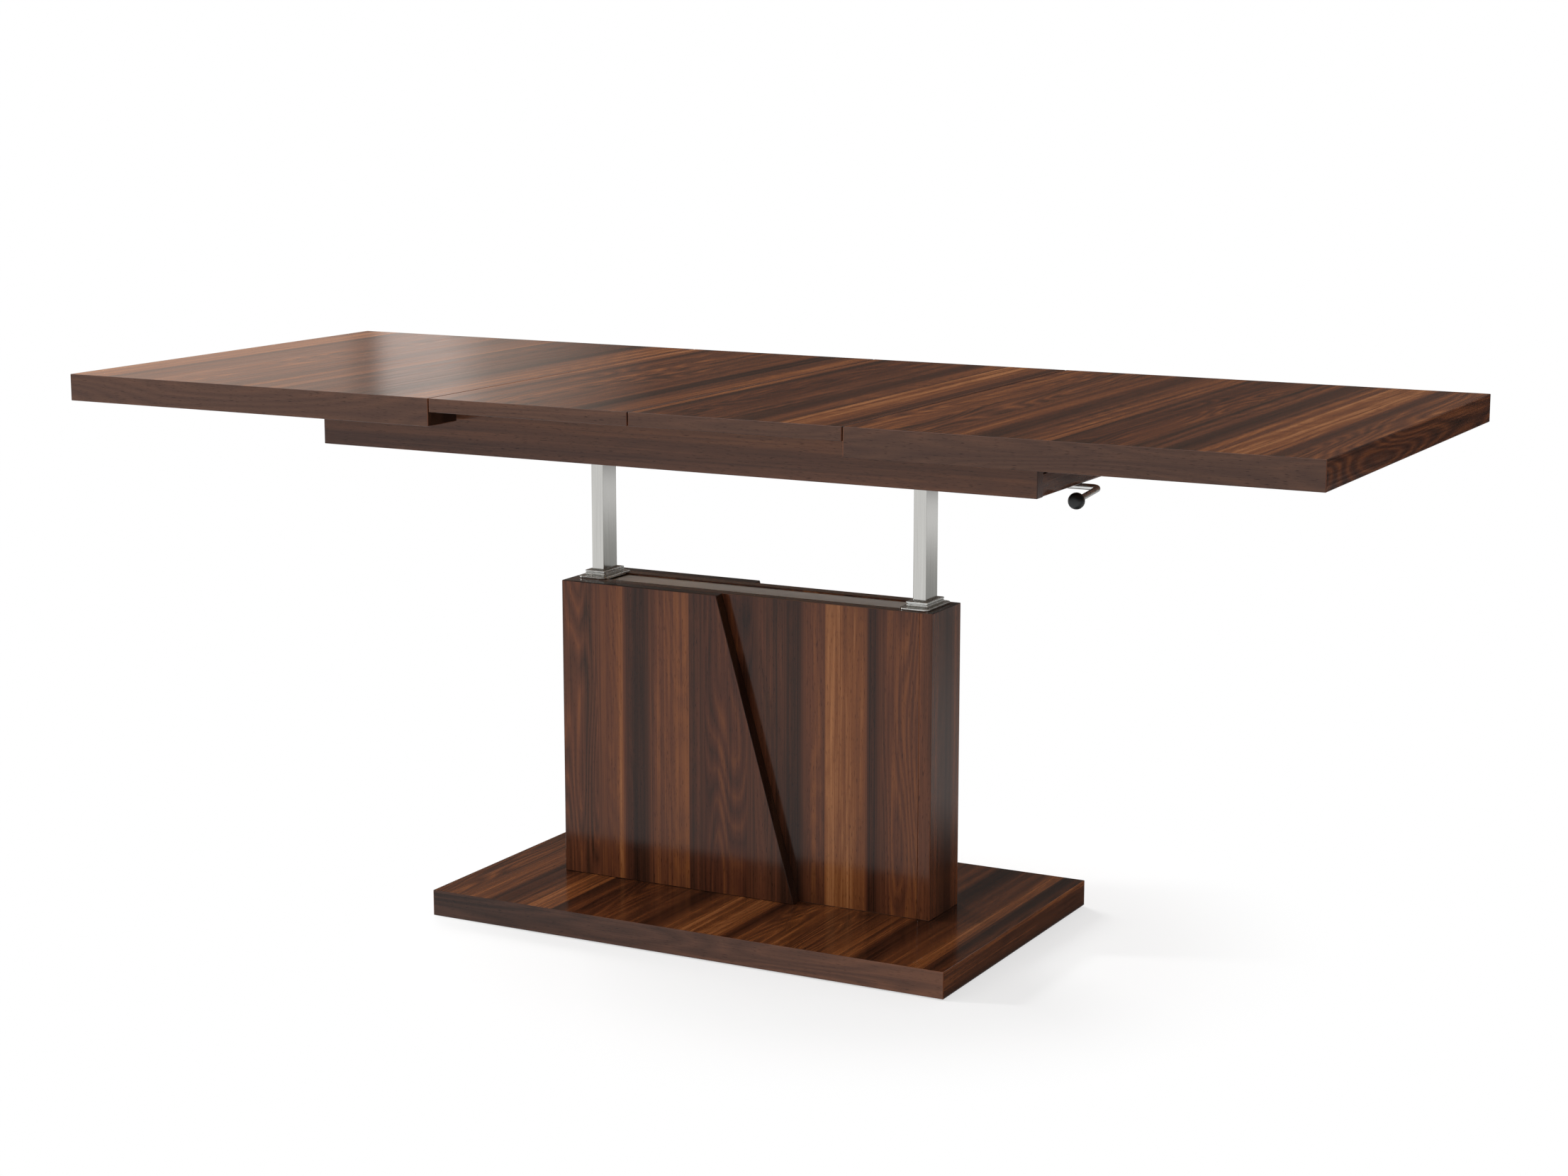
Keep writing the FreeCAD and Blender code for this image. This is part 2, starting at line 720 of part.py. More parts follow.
def lever_knob():
    """The ball knob, bored for the end of the rod."""
    ball = doc.addObject("Part::Sphere", "ball")
    bind(ball, "Radius", "knob_diameter / 2")
    place(ball, "lever_run", "-lever_arm")
    bore = bar("lever_diameter + 2 * pivot_fit", "knob_bore + overrun", "lever_run",
               "-lever_arm + knob_diameter / 2 - knob_bore", "0", "Y")
    knob = keep(cut("lever_knob", ball, bore))
    place(knob, "lever_start", "-lever_offset", "lever_z", X_AXIS, "lever_droop")


def lever_crank():
    """The short arm on the lever's inner end, with a round nose that lifts the release shaft's peg."""
    x = "lever_start"
    hub = bar("crank_hub", "crank_thickness", x, "-lever_offset", "lever_z", "X")
    arm = block("crank_thickness", "crank_radius", "crank_height",
                x, "-peg_y", "lever_z - crank_height / 2")
    nose = bar("crank_height", "crank_thickness", x, "-peg_y", "lever_z", "X")
    bore = bar("lever_diameter + 2 * pivot_fit", "crank_thickness + 2 * overrun",
               f"{x} - overrun", "-lever_offset", "lever_z", "X")
    keep(cut("lever_crank", fused("crank", [hub, arm, nose]), bore))


def release_shaft():
    """The cross shaft with a finger over each valve pin, an input arm and its peg."""
    end = "post_x + finger_width / 2 + shaft_end"
    pieces = [bar("shaft_diameter", f"2 * ({end})", f"-({end})", "-finger_reach", "shaft_z", "X")]
    z = "shaft_z - finger_thickness / 2"
    for _, sign in SIDES:
        pieces.append(block("finger_width", "finger_reach + finger_tip", "finger_thickness",
                            f"{sign} * post_x - finger_width / 2", "-finger_reach", z))
    pieces.append(block("crank_thickness", "peg_y + peg_diameter / 2 - finger_reach",
                        "finger_thickness", "lever_start", "-peg_y - peg_diameter / 2", z))
    foot = "lever_z + crank_height / 2 + press_gap"
    pieces.append(bar("peg_diameter", f"shaft_z - ({foot})", "lever_start + crank_thickness / 2",
                      "-peg_y", foot))
    keep(fused("release_shaft", pieces))


def valve_pins():
    """The two pins that the fingers press into the gas cylinders."""
    pins = []
    for _, sign in SIDES:
        pins.append(bar("pin_diameter", "pin_top - neck_top + pin_sunk", f"{sign} * post_x",
                        "0", "neck_top - pin_sunk"))
    group("valve_pins", pins)


# Half tops and leaves


def half_top(side, sign):
    """A half top: the panel, a lip along three edges below it, and two runners."""
    length = "half_outer - half_inner"
    middle = f"{sign} * (half_outer + half_inner) / 2"
    panel = slab(f"{side}_top_panel", length, "top_width", "board")
    place(panel, middle, "0", "panel_underside")
    lip_z = "panel_underside - lip_depth"
    end = slab(f"{side}_end_lip", "lip_width", "top_width - 2 * lip_width", "lip_depth")
    place(end, f"{sign} * (half_outer - lip_width / 2)", "0", lip_z)
    run = "half_outer - lip_width - runner_end_gap - half_inner"
    for face, way in FACES:
        lip = slab(f"{side}_{face}_lip", length, "lip_width", "lip_depth")
        place(lip, middle, f"{way} * (top_width - lip_width) / 2", lip_z)
        runner = slab(f"{side}_{face}_runner", run, "runner_width", "runner_height")
        y = f"{way} * (runner_width - guide_size + overrun) / 2"
        z = "guide_top - runner_bottom - (guide_size + slide_gap) / 2"
        groove = rectangle(runner, "groove", "guide_size + overrun", "guide_size + slide_gap",
                           "YZ_Plane", (y, z, f"({run}) / 2 + overrun"))
        pocket(runner, groove, f"{run} + 2 * overrun")
        place(runner, f"{sign} * (half_inner + ({run}) / 2)", f"{way} * runner_y", "runner_bottom")


def leaf(side, sign):
    """A loose leaf that lies on the frame's pads, with two battens that drop between the rails."""
    board = slab(f"{side}_leaf", "leaf_length - seam", "top_width", "board")
    place(board, f"{sign} * leaf_length / 2", "0", "panel_underside")
    battens = []
    for inset in ("batten_inset", "leaf_length - batten_inset"):
        battens.append(block("batten_width", "batten_length", "batten_height",
                             f"{sign} * ({inset}) - batten_width / 2", "-batten_length / 2",
                             "panel_underside - batten_height"))
    group(f"{side}_leaf_battens", battens)


def check_model():
    """Stop if any object failed, any pocket cut nothing, or any sub-part is not a good solid."""
    for item in doc.Objects:
        if "Invalid" in item.State or "Error" in item.State:
            raise RuntimeError(f"{item.Label} failed: {item.State}")
    for item in doc.findObjects("PartDesign::Pocket"):
        if item.Shape.Volume >= item.BaseFeature.Shape.Volume:
            raise RuntimeError(f"{item.Label} cuts nothing")
    for item in PARTS:
        if item.Shape.isNull() or not item.Shape.isValid() or not item.Shape.Solids:
            raise RuntimeError(f"{item.Label} is not a good solid")


base()
column()
raised_panel("front", "-column_depth / 2")
raised_panel("back", "column_depth / 2 + raised_board")
tie_strip()
lift_foot()
for side, sign in SIDES:
    collar(side, sign)
    lift_side(side, sign)
    end_rail(side, sign)
    bearer(side, sign)
    half_top(side, sign)
    leaf(side, sign)
guide_bushes()
gas_springs()
rails()
frame_hardware()
pivot_blocks()
lever_rod()
lever_knob()
lever_crank()
release_shaft()
valve_pins()
doc.recompute()
check_model()

os.makedirs("parts", exist_ok=True)
for item in PARTS:
    item.Shape.exportStep(f"parts/{item.Label}.step")
    box = item.Shape.BoundBox
    print(f"{item.Label}: {len(item.Shape.Solids)} solids, {box.XLength:.1f} x {box.YLength:.1f}"
          f" x {box.ZLength:.1f} at z {box.ZMin:.1f}")
print(len(PARTS), "sub-parts")
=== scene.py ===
# %% [markdown]
# # An extending lift table
#
# The table stands raised and pulled out to its full length. A flat base carries an upright
# column, two steel posts slide in the column, and the posts lift an apron frame with two half
# tops and two loose leaves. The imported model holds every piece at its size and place, so it is
# loaded first and never moved. What is left for this lesson is the camera, the studio, the
# finish of each surface and the fine shape of what shows.

# %% Load the frame
import json
import math

import bmesh
import bpy
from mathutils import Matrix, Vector


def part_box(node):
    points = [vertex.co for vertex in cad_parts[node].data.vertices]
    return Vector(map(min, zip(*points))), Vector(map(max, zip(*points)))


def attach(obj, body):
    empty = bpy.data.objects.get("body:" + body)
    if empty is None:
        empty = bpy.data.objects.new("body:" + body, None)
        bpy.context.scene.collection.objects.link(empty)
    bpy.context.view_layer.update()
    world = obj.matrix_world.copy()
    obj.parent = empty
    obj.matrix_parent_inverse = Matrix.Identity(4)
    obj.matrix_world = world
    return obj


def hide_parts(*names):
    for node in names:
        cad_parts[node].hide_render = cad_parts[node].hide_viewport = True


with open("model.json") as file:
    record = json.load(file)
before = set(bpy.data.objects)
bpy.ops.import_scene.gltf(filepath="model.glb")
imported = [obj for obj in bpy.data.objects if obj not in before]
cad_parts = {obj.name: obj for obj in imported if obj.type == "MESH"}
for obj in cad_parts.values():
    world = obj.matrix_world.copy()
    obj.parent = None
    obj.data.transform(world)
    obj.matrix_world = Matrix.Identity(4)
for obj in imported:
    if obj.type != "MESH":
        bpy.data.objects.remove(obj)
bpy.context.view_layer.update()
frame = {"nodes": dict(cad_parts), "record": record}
MM = 0.001

# %% [markdown]
# ## The camera
#
# The picture was taken with a longish lens from the front right, a little above the top. A
# camera can be placed by eye, but here its place and lens were worked out from the table's own
# corners, so that the render lies over the picture. The lens isn't shifted and nothing is out
# of focus.

# %% Place the camera
SENSOR_WIDTH_MM = 36
LENS_MM = 67.24
CAMERA_PLACE = (1.8744, -3.4559, 1.1943)
CAMERA_TILT_DEGREES = 79.401
CAMERA_TURN_DEGREES = 28.004

bpy.ops.object.select_all(action="DESELECT")
camera_turn = (math.radians(CAMERA_TILT_DEGREES), 0, math.radians(CAMERA_TURN_DEGREES))
bpy.ops.object.camera_add(location=CAMERA_PLACE, rotation=camera_turn)
camera = bpy.context.object
camera.name = "studio_camera"
camera.data.sensor_width = SENSOR_WIDTH_MM
camera.data.lens = LENS_MM
bpy.context.scene.camera = camera
bpy.context.scene.view_settings.view_transform = "Standard"
print("camera", tuple(camera.location), "lens", camera.data.lens)

# %% [markdown]
# ## Nodes and colours
#
# Every finish below is a small tree of shader nodes. One helper adds a node, sets its
# properties and fills its sockets, with a plain value or with another node's output. Four short
# ones use it for sums, ranges, mixed colours and plain glows. Colours are written as the sRGB
# hex values that a colour picker shows, and one function turns them to the linear values that
# the shaders work in.

# %% Helpers for materials


def linear(hex_colour):
    """A hex colour such as 6b432a as linear red, green, blue and alpha."""
    channels = [int(hex_colour[i:i + 2], 16) / 255 for i in (0, 2, 4)]
    return [c / 12.92 if c <= 0.04045 else ((c + 0.055) / 1.055) ** 2.4 for c in channels] + [1.0]


def add(tree, kind, sockets, stops=(), **settings):
    """Add a node: settings are its properties, sockets its inputs, stops the colours of a ramp."""
    node = tree.nodes.new(f"ShaderNode{kind}")
    for name, value in settings.items():
        setattr(node, name, value)
    for count, (place, colour) in enumerate(stops):
        marks = node.color_ramp.elements
        mark = marks[count] if count < len(marks) else marks.new(place)
        mark.position = place
        mark.color = linear(colour) if isinstance(colour, str) else colour
    for socket, value in sockets.items():
        if isinstance(value, bpy.types.NodeSocket):
            tree.links.new(value, node.inputs[socket])
        else:
            node.inputs[socket].default_value = value
    return node


def maths(tree, operation, *values):
    """The result of a Math node on one, two or three values."""
    return add(tree, "Math", dict(enumerate(values)), operation=operation).outputs[0]


def ranged(tree, value, span, onto=(0.0, 1.0), **settings):
    """A value moved from one span onto another and held inside it."""
    sockets = {"Value": value, "From Min": span[0], "From Max": span[1],
               "To Min": onto[0], "To Max": onto[1]}
    return add(tree, "MapRange", sockets, **settings).outputs["Result"]


def mixed(tree, share, colour, other, blend_type="MIX"):
    """A colour mixed with another one by a share, in the sockets that the node has for colours."""
    sockets = {0: share, 6: colour, 7: other}
    return add(tree, "Mix", sockets, data_type="RGBA", blend_type=blend_type).outputs[2]


def glow(tree, colour):
    """A shader that shows a colour as it is."""
    return add(tree, "Emission", {"Color": colour, "Strength": 1.0}).outputs[0]


def start_material(name):
    """A new material with its node tree, its shader and the place of each point on the piece."""
    material = bpy.data.materials.new(name)
    material.use_nodes = True
    tree = material.node_tree
    place = add(tree, "TexCoord", {}).outputs["Object"]
    return material, tree, tree.nodes["Principled BSDF"], place


print("a mid brown is", [round(c, 3) for c in linear("6b432a")])

# %% [markdown]
# ## The studio
#
# The table stands on a white floor that runs into a white background, with a faint shadow round
# the base. The floor is a plain pale plane. Where it is seen, directly or in metal, it fades to
# pure white away from the table, so that no horizon shows, and near the table it keeps a part
# of the shadow. The world is white where it is seen and softer where it lights the table.

# %% Floor and world
WHITE = "ffffff"
FLOOR_SIZE = 60
FLOOR_COLOUR = "f2f2f2"
FLOOR_ROUGHNESS = 0.9
SHADOW_CENTRE = (0.13, -0.02, 0)
SHADOW_REACH = (0.38, 0.68)
WHITE_SHARES = (0.6, 1.0)
AMBIENT_LEVEL = 0.7


def seen_rays(tree):
    """One where a ray comes from the camera, a mirror or a glass, zero where it carries light."""
    rays = add(tree, "LightPath", {}).outputs
    seen = maths(tree, "MAXIMUM", rays["Is Camera Ray"], rays["Is Glossy Ray"])
    return maths(tree, "MAXIMUM", seen, rays["Is Transmission Ray"])


bpy.ops.mesh.primitive_plane_add(size=FLOOR_SIZE)
floor = bpy.context.object
floor.name = "studio_floor"

floor_paint, tree, shader, place = start_material("matt_white_floor")
shader.inputs["Base Color"].default_value = linear(FLOOR_COLOUR)
shader.inputs["Roughness"].default_value = FLOOR_ROUGHNESS
shader.inputs["Specular IOR Level"].default_value = 0.0
reach = add(tree, "VectorMath", {0: place, 1: SHADOW_CENTRE}, operation="DISTANCE")
fade = ranged(tree, reach.outputs["Value"], SHADOW_REACH, WHITE_SHARES,
              interpolation_type="SMOOTHSTEP")
share = maths(tree, "MULTIPLY", fade, seen_rays(tree))
white = glow(tree, linear(WHITE))
surface = add(tree, "MixShader", {0: share, 1: shader.outputs[0], 2: white}).outputs[0]
tree.links.new(surface, tree.nodes["Material Output"].inputs["Surface"])
floor.data.materials.append(floor_paint)

world = bpy.data.worlds.new("studio_world")
bpy.context.scene.world = world
world.use_nodes = True
tree = world.node_tree
soft = add(tree, "Background", {"Color": linear(WHITE), "Strength": AMBIENT_LEVEL}).outputs[0]
white = add(tree, "Background", {"Color": linear(WHITE), "Strength": 1.0}).outputs[0]
sky = add(tree, "MixShader", {0: seen_rays(tree), 1: soft, 2: white}).outputs[0]
tree.links.new(sky, tree.nodes["World Output"].inputs["Surface"])
print("floor", FLOOR_SIZE, "m wide, ambient level", AMBIENT_LEVEL)

# %% [markdown]
# ## Lamps
#
# The shadow of the base shows where the main lamp stands: far to the left, a little to the
# front and low. It is small, so the shadow has a clear edge. A large soft lamp helps it from the
# front left, and a weaker one fills from the right. Two more brighten the top from above and
# from the window's side. They stand where the real room has no lamp, so reflections don't show
# them.

# %% Set up the lamps
LAMPS = {
    "side_lamp": {"place": (-5.0, -2.05, 2.14), "aim": (0.1, 0, 0.3), "size": 0.5, "watts": 190},
    "key_lamp": {"place": (-2.6, -3.2, 3.4), "aim": (0, 0, 0.5), "size": 2.6, "watts": 32},
    "fill_lamp": {"place": (3.6, -1.0, 2.4), "aim": (0, 0, 0.4), "size": 2.2, "watts": 24},
    "top_lamp": {"place": (0.5, 0.2, 3.0), "aim": (0.5, 0.2, 0), "size": 2.0, "watts": 15},
    "window_lamp": {"place": (-2.3, 1.7, 1.9), "aim": (-0.6, 0, 0.74), "size": 1.4, "watts": 75},
}
UNSEEN_LAMPS = ("top_lamp", "window_lamp")

for name, lamp in LAMPS.items():
    bpy.ops.object.light_add(type="AREA", location=lamp["place"])
    light = bpy.context.object
    light.name = name
    light.data.size = lamp["size"]
    light.data.energy = lamp["watts"]
    light.visible_glossy = name not in UNSEEN_LAMPS
    towards = Vector(lamp["aim"]) - Vector(lamp["place"])
    light.rotation_euler = towards.to_track_quat("-Z", "Y").to_euler()
print(len(LAMPS), "lamps,", len(UNSEEN_LAMPS), "of them hidden from reflections")

# %% [markdown]
# ## A dark screen
#
# The top is seen at a very flat angle, where any lacquer mirrors what stands behind it. The real
# one mirrors a dim room behind its right half and a bright window behind its left half. A
# photographer would set up screens for that. Here a ring of screen stands far round the table.
# Behind it, the ring is dark at the right and bright at the left, with the dark line of the
# window frame. Only reflections see it, so it takes no light away.

# %% Stand the screen round the table
SCREEN_RADIUS = 28
SCREEN_HEIGHTS = (0.1, 15)
SCREEN_SEGMENTS = 96
# Greys behind the table, between two angles that are counted from the table's right.
SCREEN_ANGLES = (math.radians(118), math.radians(131))
SCREEN_GREYS = ((0.0, "4a403a"), (0.22, "564a43"), (0.5, "b0a298"), (0.57, "e4d6cd"),
                (0.675, "e8dbd3"), (0.70, "6e5f56"), (0.75, "bda99d"), (1.0, "c8b2a5"))
# Away from these angles it turns to one plain grey, for every other side of the table.
SCREEN_SIDES = (math.radians(10), math.radians(45))
SCREEN_ROUND = "6e645d"
# Between these heights it turns to one dim grey.
SCREEN_FADE = (5.0, 6.6)
SCREEN_DIM = "57524e"


def reflections_only(thing, material, tree, colour):
    """Let a thing of the studio glow in a colour that only mirroring surfaces see."""
    tree.links.new(glow(tree, colour), tree.nodes["Material Output"].inputs["Surface"])
    thing.data.materials.append(material)
    thing.visible_camera = False
    thing.visible_diffuse = False
    thing.visible_shadow = False
    thing.visible_transmission = False


bpy.ops.object.select_all(action="DESELECT")
bpy.ops.mesh.primitive_cylinder_add(
    vertices=SCREEN_SEGMENTS, radius=SCREEN_RADIUS, depth=SCREEN_HEIGHTS[1] - SCREEN_HEIGHTS[0],
    end_fill_type="NOTHING", location=(0, 0, sum(SCREEN_HEIGHTS) / 2))
screen = bpy.context.object
screen.name = "dark_screen"
bpy.ops.object.transform_apply(location=True, rotation=True, scale=True)
screen_cloth, tree, _, place = start_material("studio_screen")
axes = add(tree, "SeparateXYZ", {"Vector": place}).outputs
angle = maths(tree, "ARCTAN2", axes["Y"], axes["X"])
turn = ranged(tree, angle, SCREEN_ANGLES)
grey = add(tree, "ValToRGB", {"Fac": turn}, stops=SCREEN_GREYS).outputs["Color"]
aside = maths(tree, "ABSOLUTE", maths(tree, "SUBTRACT", angle, sum(SCREEN_ANGLES) / 2))
aside = ranged(tree, aside, SCREEN_SIDES, interpolation_type="SMOOTHSTEP")
grey = mixed(tree, aside, grey, linear(SCREEN_ROUND))
above = ranged(tree, axes["Z"], SCREEN_FADE)
grey = mixed(tree, above, grey, linear(SCREEN_DIM))
reflections_only(screen, screen_cloth, tree, grey)
print("a screen of radius", SCREEN_RADIUS, "m")

# %% [markdown]
# ## A cloth on the floor
#
# The posts and the faces at the right end mirror the floor at the right. The real ones mirror a
# dim room there, so a cloth lies on the floor, in bands of grey, again only for reflections. Its
# palest band is what the posts mirror.

# %% Lay the cloth at the right
CLOTH_CORNERS = ((0.392, -0.8), (9.0, 14.0))
CLOTH_HEIGHT = 0.001
# Greys from the base's right edge outwards, over this reach in metres.
CLOTH_REACH = 5.0
CLOTH_GREYS = ((0.0, "4a4644"), (0.08, "4a4644"), (0.14, "c4c2c0"), (0.26, "c0bebc"),
               (0.44, "9c9c9a"), (0.56, "b4b4b2"), (0.68, "ffffff"), (0.77, "ffffff"),
               (0.82, "3c3836"))

cloth_size = [high - low for low, high in zip(*CLOTH_CORNERS)]
cloth_middle = [(high + low) / 2 for low, high in zip(*CLOTH_CORNERS)]
bpy.ops.object.select_all(action="DESELECT")
bpy.ops.mesh.primitive_plane_add(size=1, location=(*cloth_middle, CLOTH_HEIGHT))
cloth = bpy.context.object
cloth.name = "dark_cloth"
cloth.scale = (*cloth_size, 1)
bpy.ops.object.transform_apply(location=True, rotation=True, scale=True)
cloth_weave, tree, _, place = start_material("studio_cloth")
edge_middle = (CLOTH_CORNERS[0][0], 0, 0)
reach = add(tree, "VectorMath", {0: place, 1: edge_middle}, operation="DISTANCE")
share = maths(tree, "DIVIDE", reach.outputs["Value"], CLOTH_REACH)
grey = add(tree, "ValToRGB", {"Fac": share}, stops=CLOTH_GREYS).outputs["Color"]
reflections_only(cloth, cloth_weave, tree, grey)
print("a cloth of", cloth_size, "m")

# %% [markdown]
# ## Walnut decor
#
# The boards are chipboard in a walnut decor foil under a thin lacquer. The foil shows planks of
# uneven width side by side, each cut from another place of the log: dark heartwood beside
# caramel sapwood, some planks in straight stripes and some with the arches of a flat-sawn board.
# A picture of wood could be laid on, but a drawn pattern is sharp at any distance. The planks
# are written down by width and tone, and the foil repeats them. Each plank moves the pattern on
# to another place, and stretched noise draws arches, bands, stripes, fibres and pores in it. The
# grain runs along one axis, and the planks follow the sum of the other two, so they wrap round a
# board's edges.

# %% The planks of the foil
# Width in millimetres, tone at the left and at the right, how strongly the arches show, and how
# softly the plank runs into the next one, in millimetres.
FOIL_PLANKS = (
    (70, 0.41, 0.42, 1.0, 14),
    (36, 0.52, 0.66, 0.3, 10),
    (36, 0.32, 0.24, 0.3, 12),
    (61, 0.42, 0.66, 0.3, 1),
    (23, 0.24, 0.32, 0.2, 6),
    (75, 0.47, 0.43, 1.0, 8),
    (46, 0.40, 0.35, 0.4, 8),
    (26, 0.20, 0.24, 0.2, 10),
    (30, 0.44, 0.52, 0.3, 1),
    (65, 0.80, 0.66, 0.3, 4),
    (19, 0.28, 0.30, 0.2, 8),
    (69, 0.46, 0.58, 0.8, 1),
)
FOIL_WIDTH_MM = sum(plank[0] for plank in FOIL_PLANKS)
# From each plank to the next, its own number goes up by this step, and begins again above one.
PLANK_STEP = 0.381


def foil_stops():
    """Two ramp stops for each plank: its tone as red, its arches as green, its number as blue."""
    stops = []
    left = 0
    for count, (width, tone_left, tone_right, arches, softness) in enumerate(FOIL_PLANKS):
        own = (count * PLANK_STEP) % 1
        stops.append((left / FOIL_WIDTH_MM, (tone_left, arches, own, 1)))
        left += width
        stops.append(((left - softness) / FOIL_WIDTH_MM, (tone_right, arches, own, 1)))
    return stops


print(len(FOIL_PLANKS), "planks in a foil of", FOIL_WIDTH_MM, "mm")

# %% The patterns in the planks
# Each pattern's size across and along the grain in millimetres, and its detail. Real pores are
# finer than a pixel here, so they are drawn as coarse as they need to be to show.
WALNUT_PATTERNS = {
    "arches": (46, 400, 0.6),
    "bands": (24, 1500, 1.5),
    "stripes": (7, 1200, 2),
    "fibres": (2.0, 190, 3),
    "pores": (0.8, 11, 1),
}
# How far a plank's own number moves the patterns, across and along the grain in metres, and into
# the noise.
PLANK_JUMP = (0.43, 0.91)
PLANK_DEPTH = 9


def draw_patterns(tree, across, along, own):
    """Every pattern of the wood as a stretched noise, moved on by the plank's own number."""
    spot_across = maths(tree, "MULTIPLY_ADD", own, PLANK_JUMP[0], across)
    spot_along = maths(tree, "MULTIPLY_ADD", own, PLANK_JUMP[1], along)
    spot = add(tree, "CombineXYZ", {"X": spot_across, "Y": spot_along, "Z": own}).outputs[0]
    drawn = {}
    for pattern, (wide, long, detail) in WALNUT_PATTERNS.items():
        scale = (1 / (wide * MM), 1 / (long * MM), PLANK_DEPTH)
        stretched = add(tree, "Mapping", {"Vector": spot, "Scale": scale}).outputs[0]
        noise = add(tree, "TexNoise", {"Vector": stretched, "Scale": 1.0, "Detail": detail})
        drawn[pattern] = noise.outputs["Fac"]
    return drawn


print("patterns:", ", ".join(WALNUT_PATTERNS))

# %% The walnut material
# The span that most of a noise lies in, and its middle.
NOISE_SPAN = (0.3, 0.7)
NOISE_MIDDLE = 0.5
ARCH_LINES = 28
ARCH_SHARE = 0.23
# How much calmer the stripes are in a plank with full arches.
ARCH_CALM = 0.6
# How much each pattern lightens or darkens the wood.
WALNUT_SHARES = {"bands": 0.5, "stripes": 0.66, "fibres": 0.44}
WALNUT_TONES = ((0.0, "22130c"), (0.22, "372015"), (0.5, "5a3320"), (0.76, "7f4b28"),
                (0.98, "a87044"))
# A plank is tinted by as much as its own number says, a pore wholly.
SLATE_TINT = "d4cdd2"
PORE_TINT = "998a80"
PORE_SPAN = (0.62, 0.76)
# How strongly the thin lacquer mirrors, how rough it is, and how deep the wood's relief shows.
LACQUER_LEVEL = 0.27
LACQUER_ROUGHNESS = (0.11, 0.19)
RELIEF_MM = 0.05
RELIEF_STRENGTH = 0.1


def walnut(name, grain, start_mm, tones=WALNUT_TONES, drift=0.0, swing=1.0):
    """Walnut foil with its grain along one axis and its first plank at a place across it.

    The tone rises along the grain by the drift, in each metre. The swing strengthens the grain.
    """
    material, tree, shader, place = start_material(name)
    axes = add(tree, "SeparateXYZ", {"Vector": place}).outputs
    across = maths(tree, "ADD", *[axes[axis] for axis in "XYZ" if axis != grain])
    foil = maths(tree, "MULTIPLY_ADD", across, 1 / (FOIL_WIDTH_MM * MM), -start_mm / FOIL_WIDTH_MM)
    repeat = maths(tree, "FRACT", foil)
    plank = add(tree, "ValToRGB", {"Fac": repeat}, stops=foil_stops()).outputs["Color"]
    tone, arched, own = add(tree, "SeparateColor", {"Color": plank}).outputs
    drawn = draw_patterns(tree, across, axes[grain], own)

    rings = maths(tree, "MULTIPLY", drawn["arches"], ARCH_LINES)
    waves = maths(tree, "PINGPONG", rings, 1.0)
    lines = ARCH_SHARE * swing
    arches = maths(tree, "MULTIPLY_ADD", waves, lines, -lines / 2)
    tone = maths(tree, "MULTIPLY_ADD", arches, arched, tone)
    if drift:
        tone = maths(tree, "MULTIPLY_ADD", axes[grain], drift, tone)
    calm = maths(tree, "MULTIPLY_ADD", arched, -ARCH_CALM, 1.0)
    for pattern, part in WALNUT_SHARES.items():
        change = maths(tree, "SUBTRACT", drawn[pattern], NOISE_MIDDLE)
        if pattern == "stripes":
            change = maths(tree, "MULTIPLY", change, calm)
        tone = maths(tree, "MULTIPLY_ADD", change, part * swing, tone)

    wood = add(tree, "ValToRGB", {"Fac": tone}, stops=tones).outputs["Color"]
    wood = mixed(tree, own, wood, linear(SLATE_TINT), "MULTIPLY")
    pits = ranged(tree, drawn["pores"], PORE_SPAN)
    wood = mixed(tree, pits, wood, linear(PORE_TINT), "MULTIPLY")
    gloss = ranged(tree, drawn["fibres"], NOISE_SPAN, LACQUER_ROUGHNESS)
    relief = maths(tree, "MULTIPLY_ADD", pits, -1.0, drawn["fibres"])
    bump = add(tree, "Bump", {"Height": relief, "Strength": RELIEF_STRENGTH,
                              "Distance": RELIEF_MM * MM})
    tree.links.new(wood, shader.inputs["Base Color"])
    tree.links.new(gloss, shader.inputs["Roughness"])
    tree.links.new(bump.outputs[0], shader.inputs["Normal"])
    shader.inputs["Specular IOR Level"].default_value = LACQUER_LEVEL
    return material


print("walnut runs from", WALNUT_TONES[0][1], "to", WALNUT_TONES[-1][1])

# %% The walnut finishes
# The base's tones are the walnut tones made darker: painted shade for the base, which lies under
# the top. The edging along Y takes the same darker tones.
BASE_SHADE_TONES = ((0.0, "1b0f09"), (0.22, "2d190f"), (0.5, "4e2b18"), (0.76, "744322"),
              (0.98, "9a6238"))
# The column's tones are the walnut tones made darker: painted shade on the column's front and back
# panels and on its raised panels.
COLUMN_SHADE_TONES = ((0.0, "20120b"), (0.22, "331e14"), (0.5, "542f1e"), (0.76, "764625"),
                (0.98, "9c683f"))
APRON_TONES = ((0.0, "30201b"), (0.35, "493026"), (0.6, "5b3c2d"), (0.95, "7a5037"))
EDGE_TONES = ((0.0, "402c25"), (0.5, "5a4031"), (0.98, "75503b"))
BASE_EDGE_TONES = ((0.0, "2e1e16"), (0.5, "5a3d2e"), (0.98, "80573e"))
SHADED_TONES = ((0.0, "1b0f09"), (0.5, "28160e"), (0.98, "3c2618"))

# Each has the axis of its grain and the place in millimetres where its first plank starts.
WALNUT_TOP = walnut("walnut_foil_top", "Y", 1106, swing=1.6)
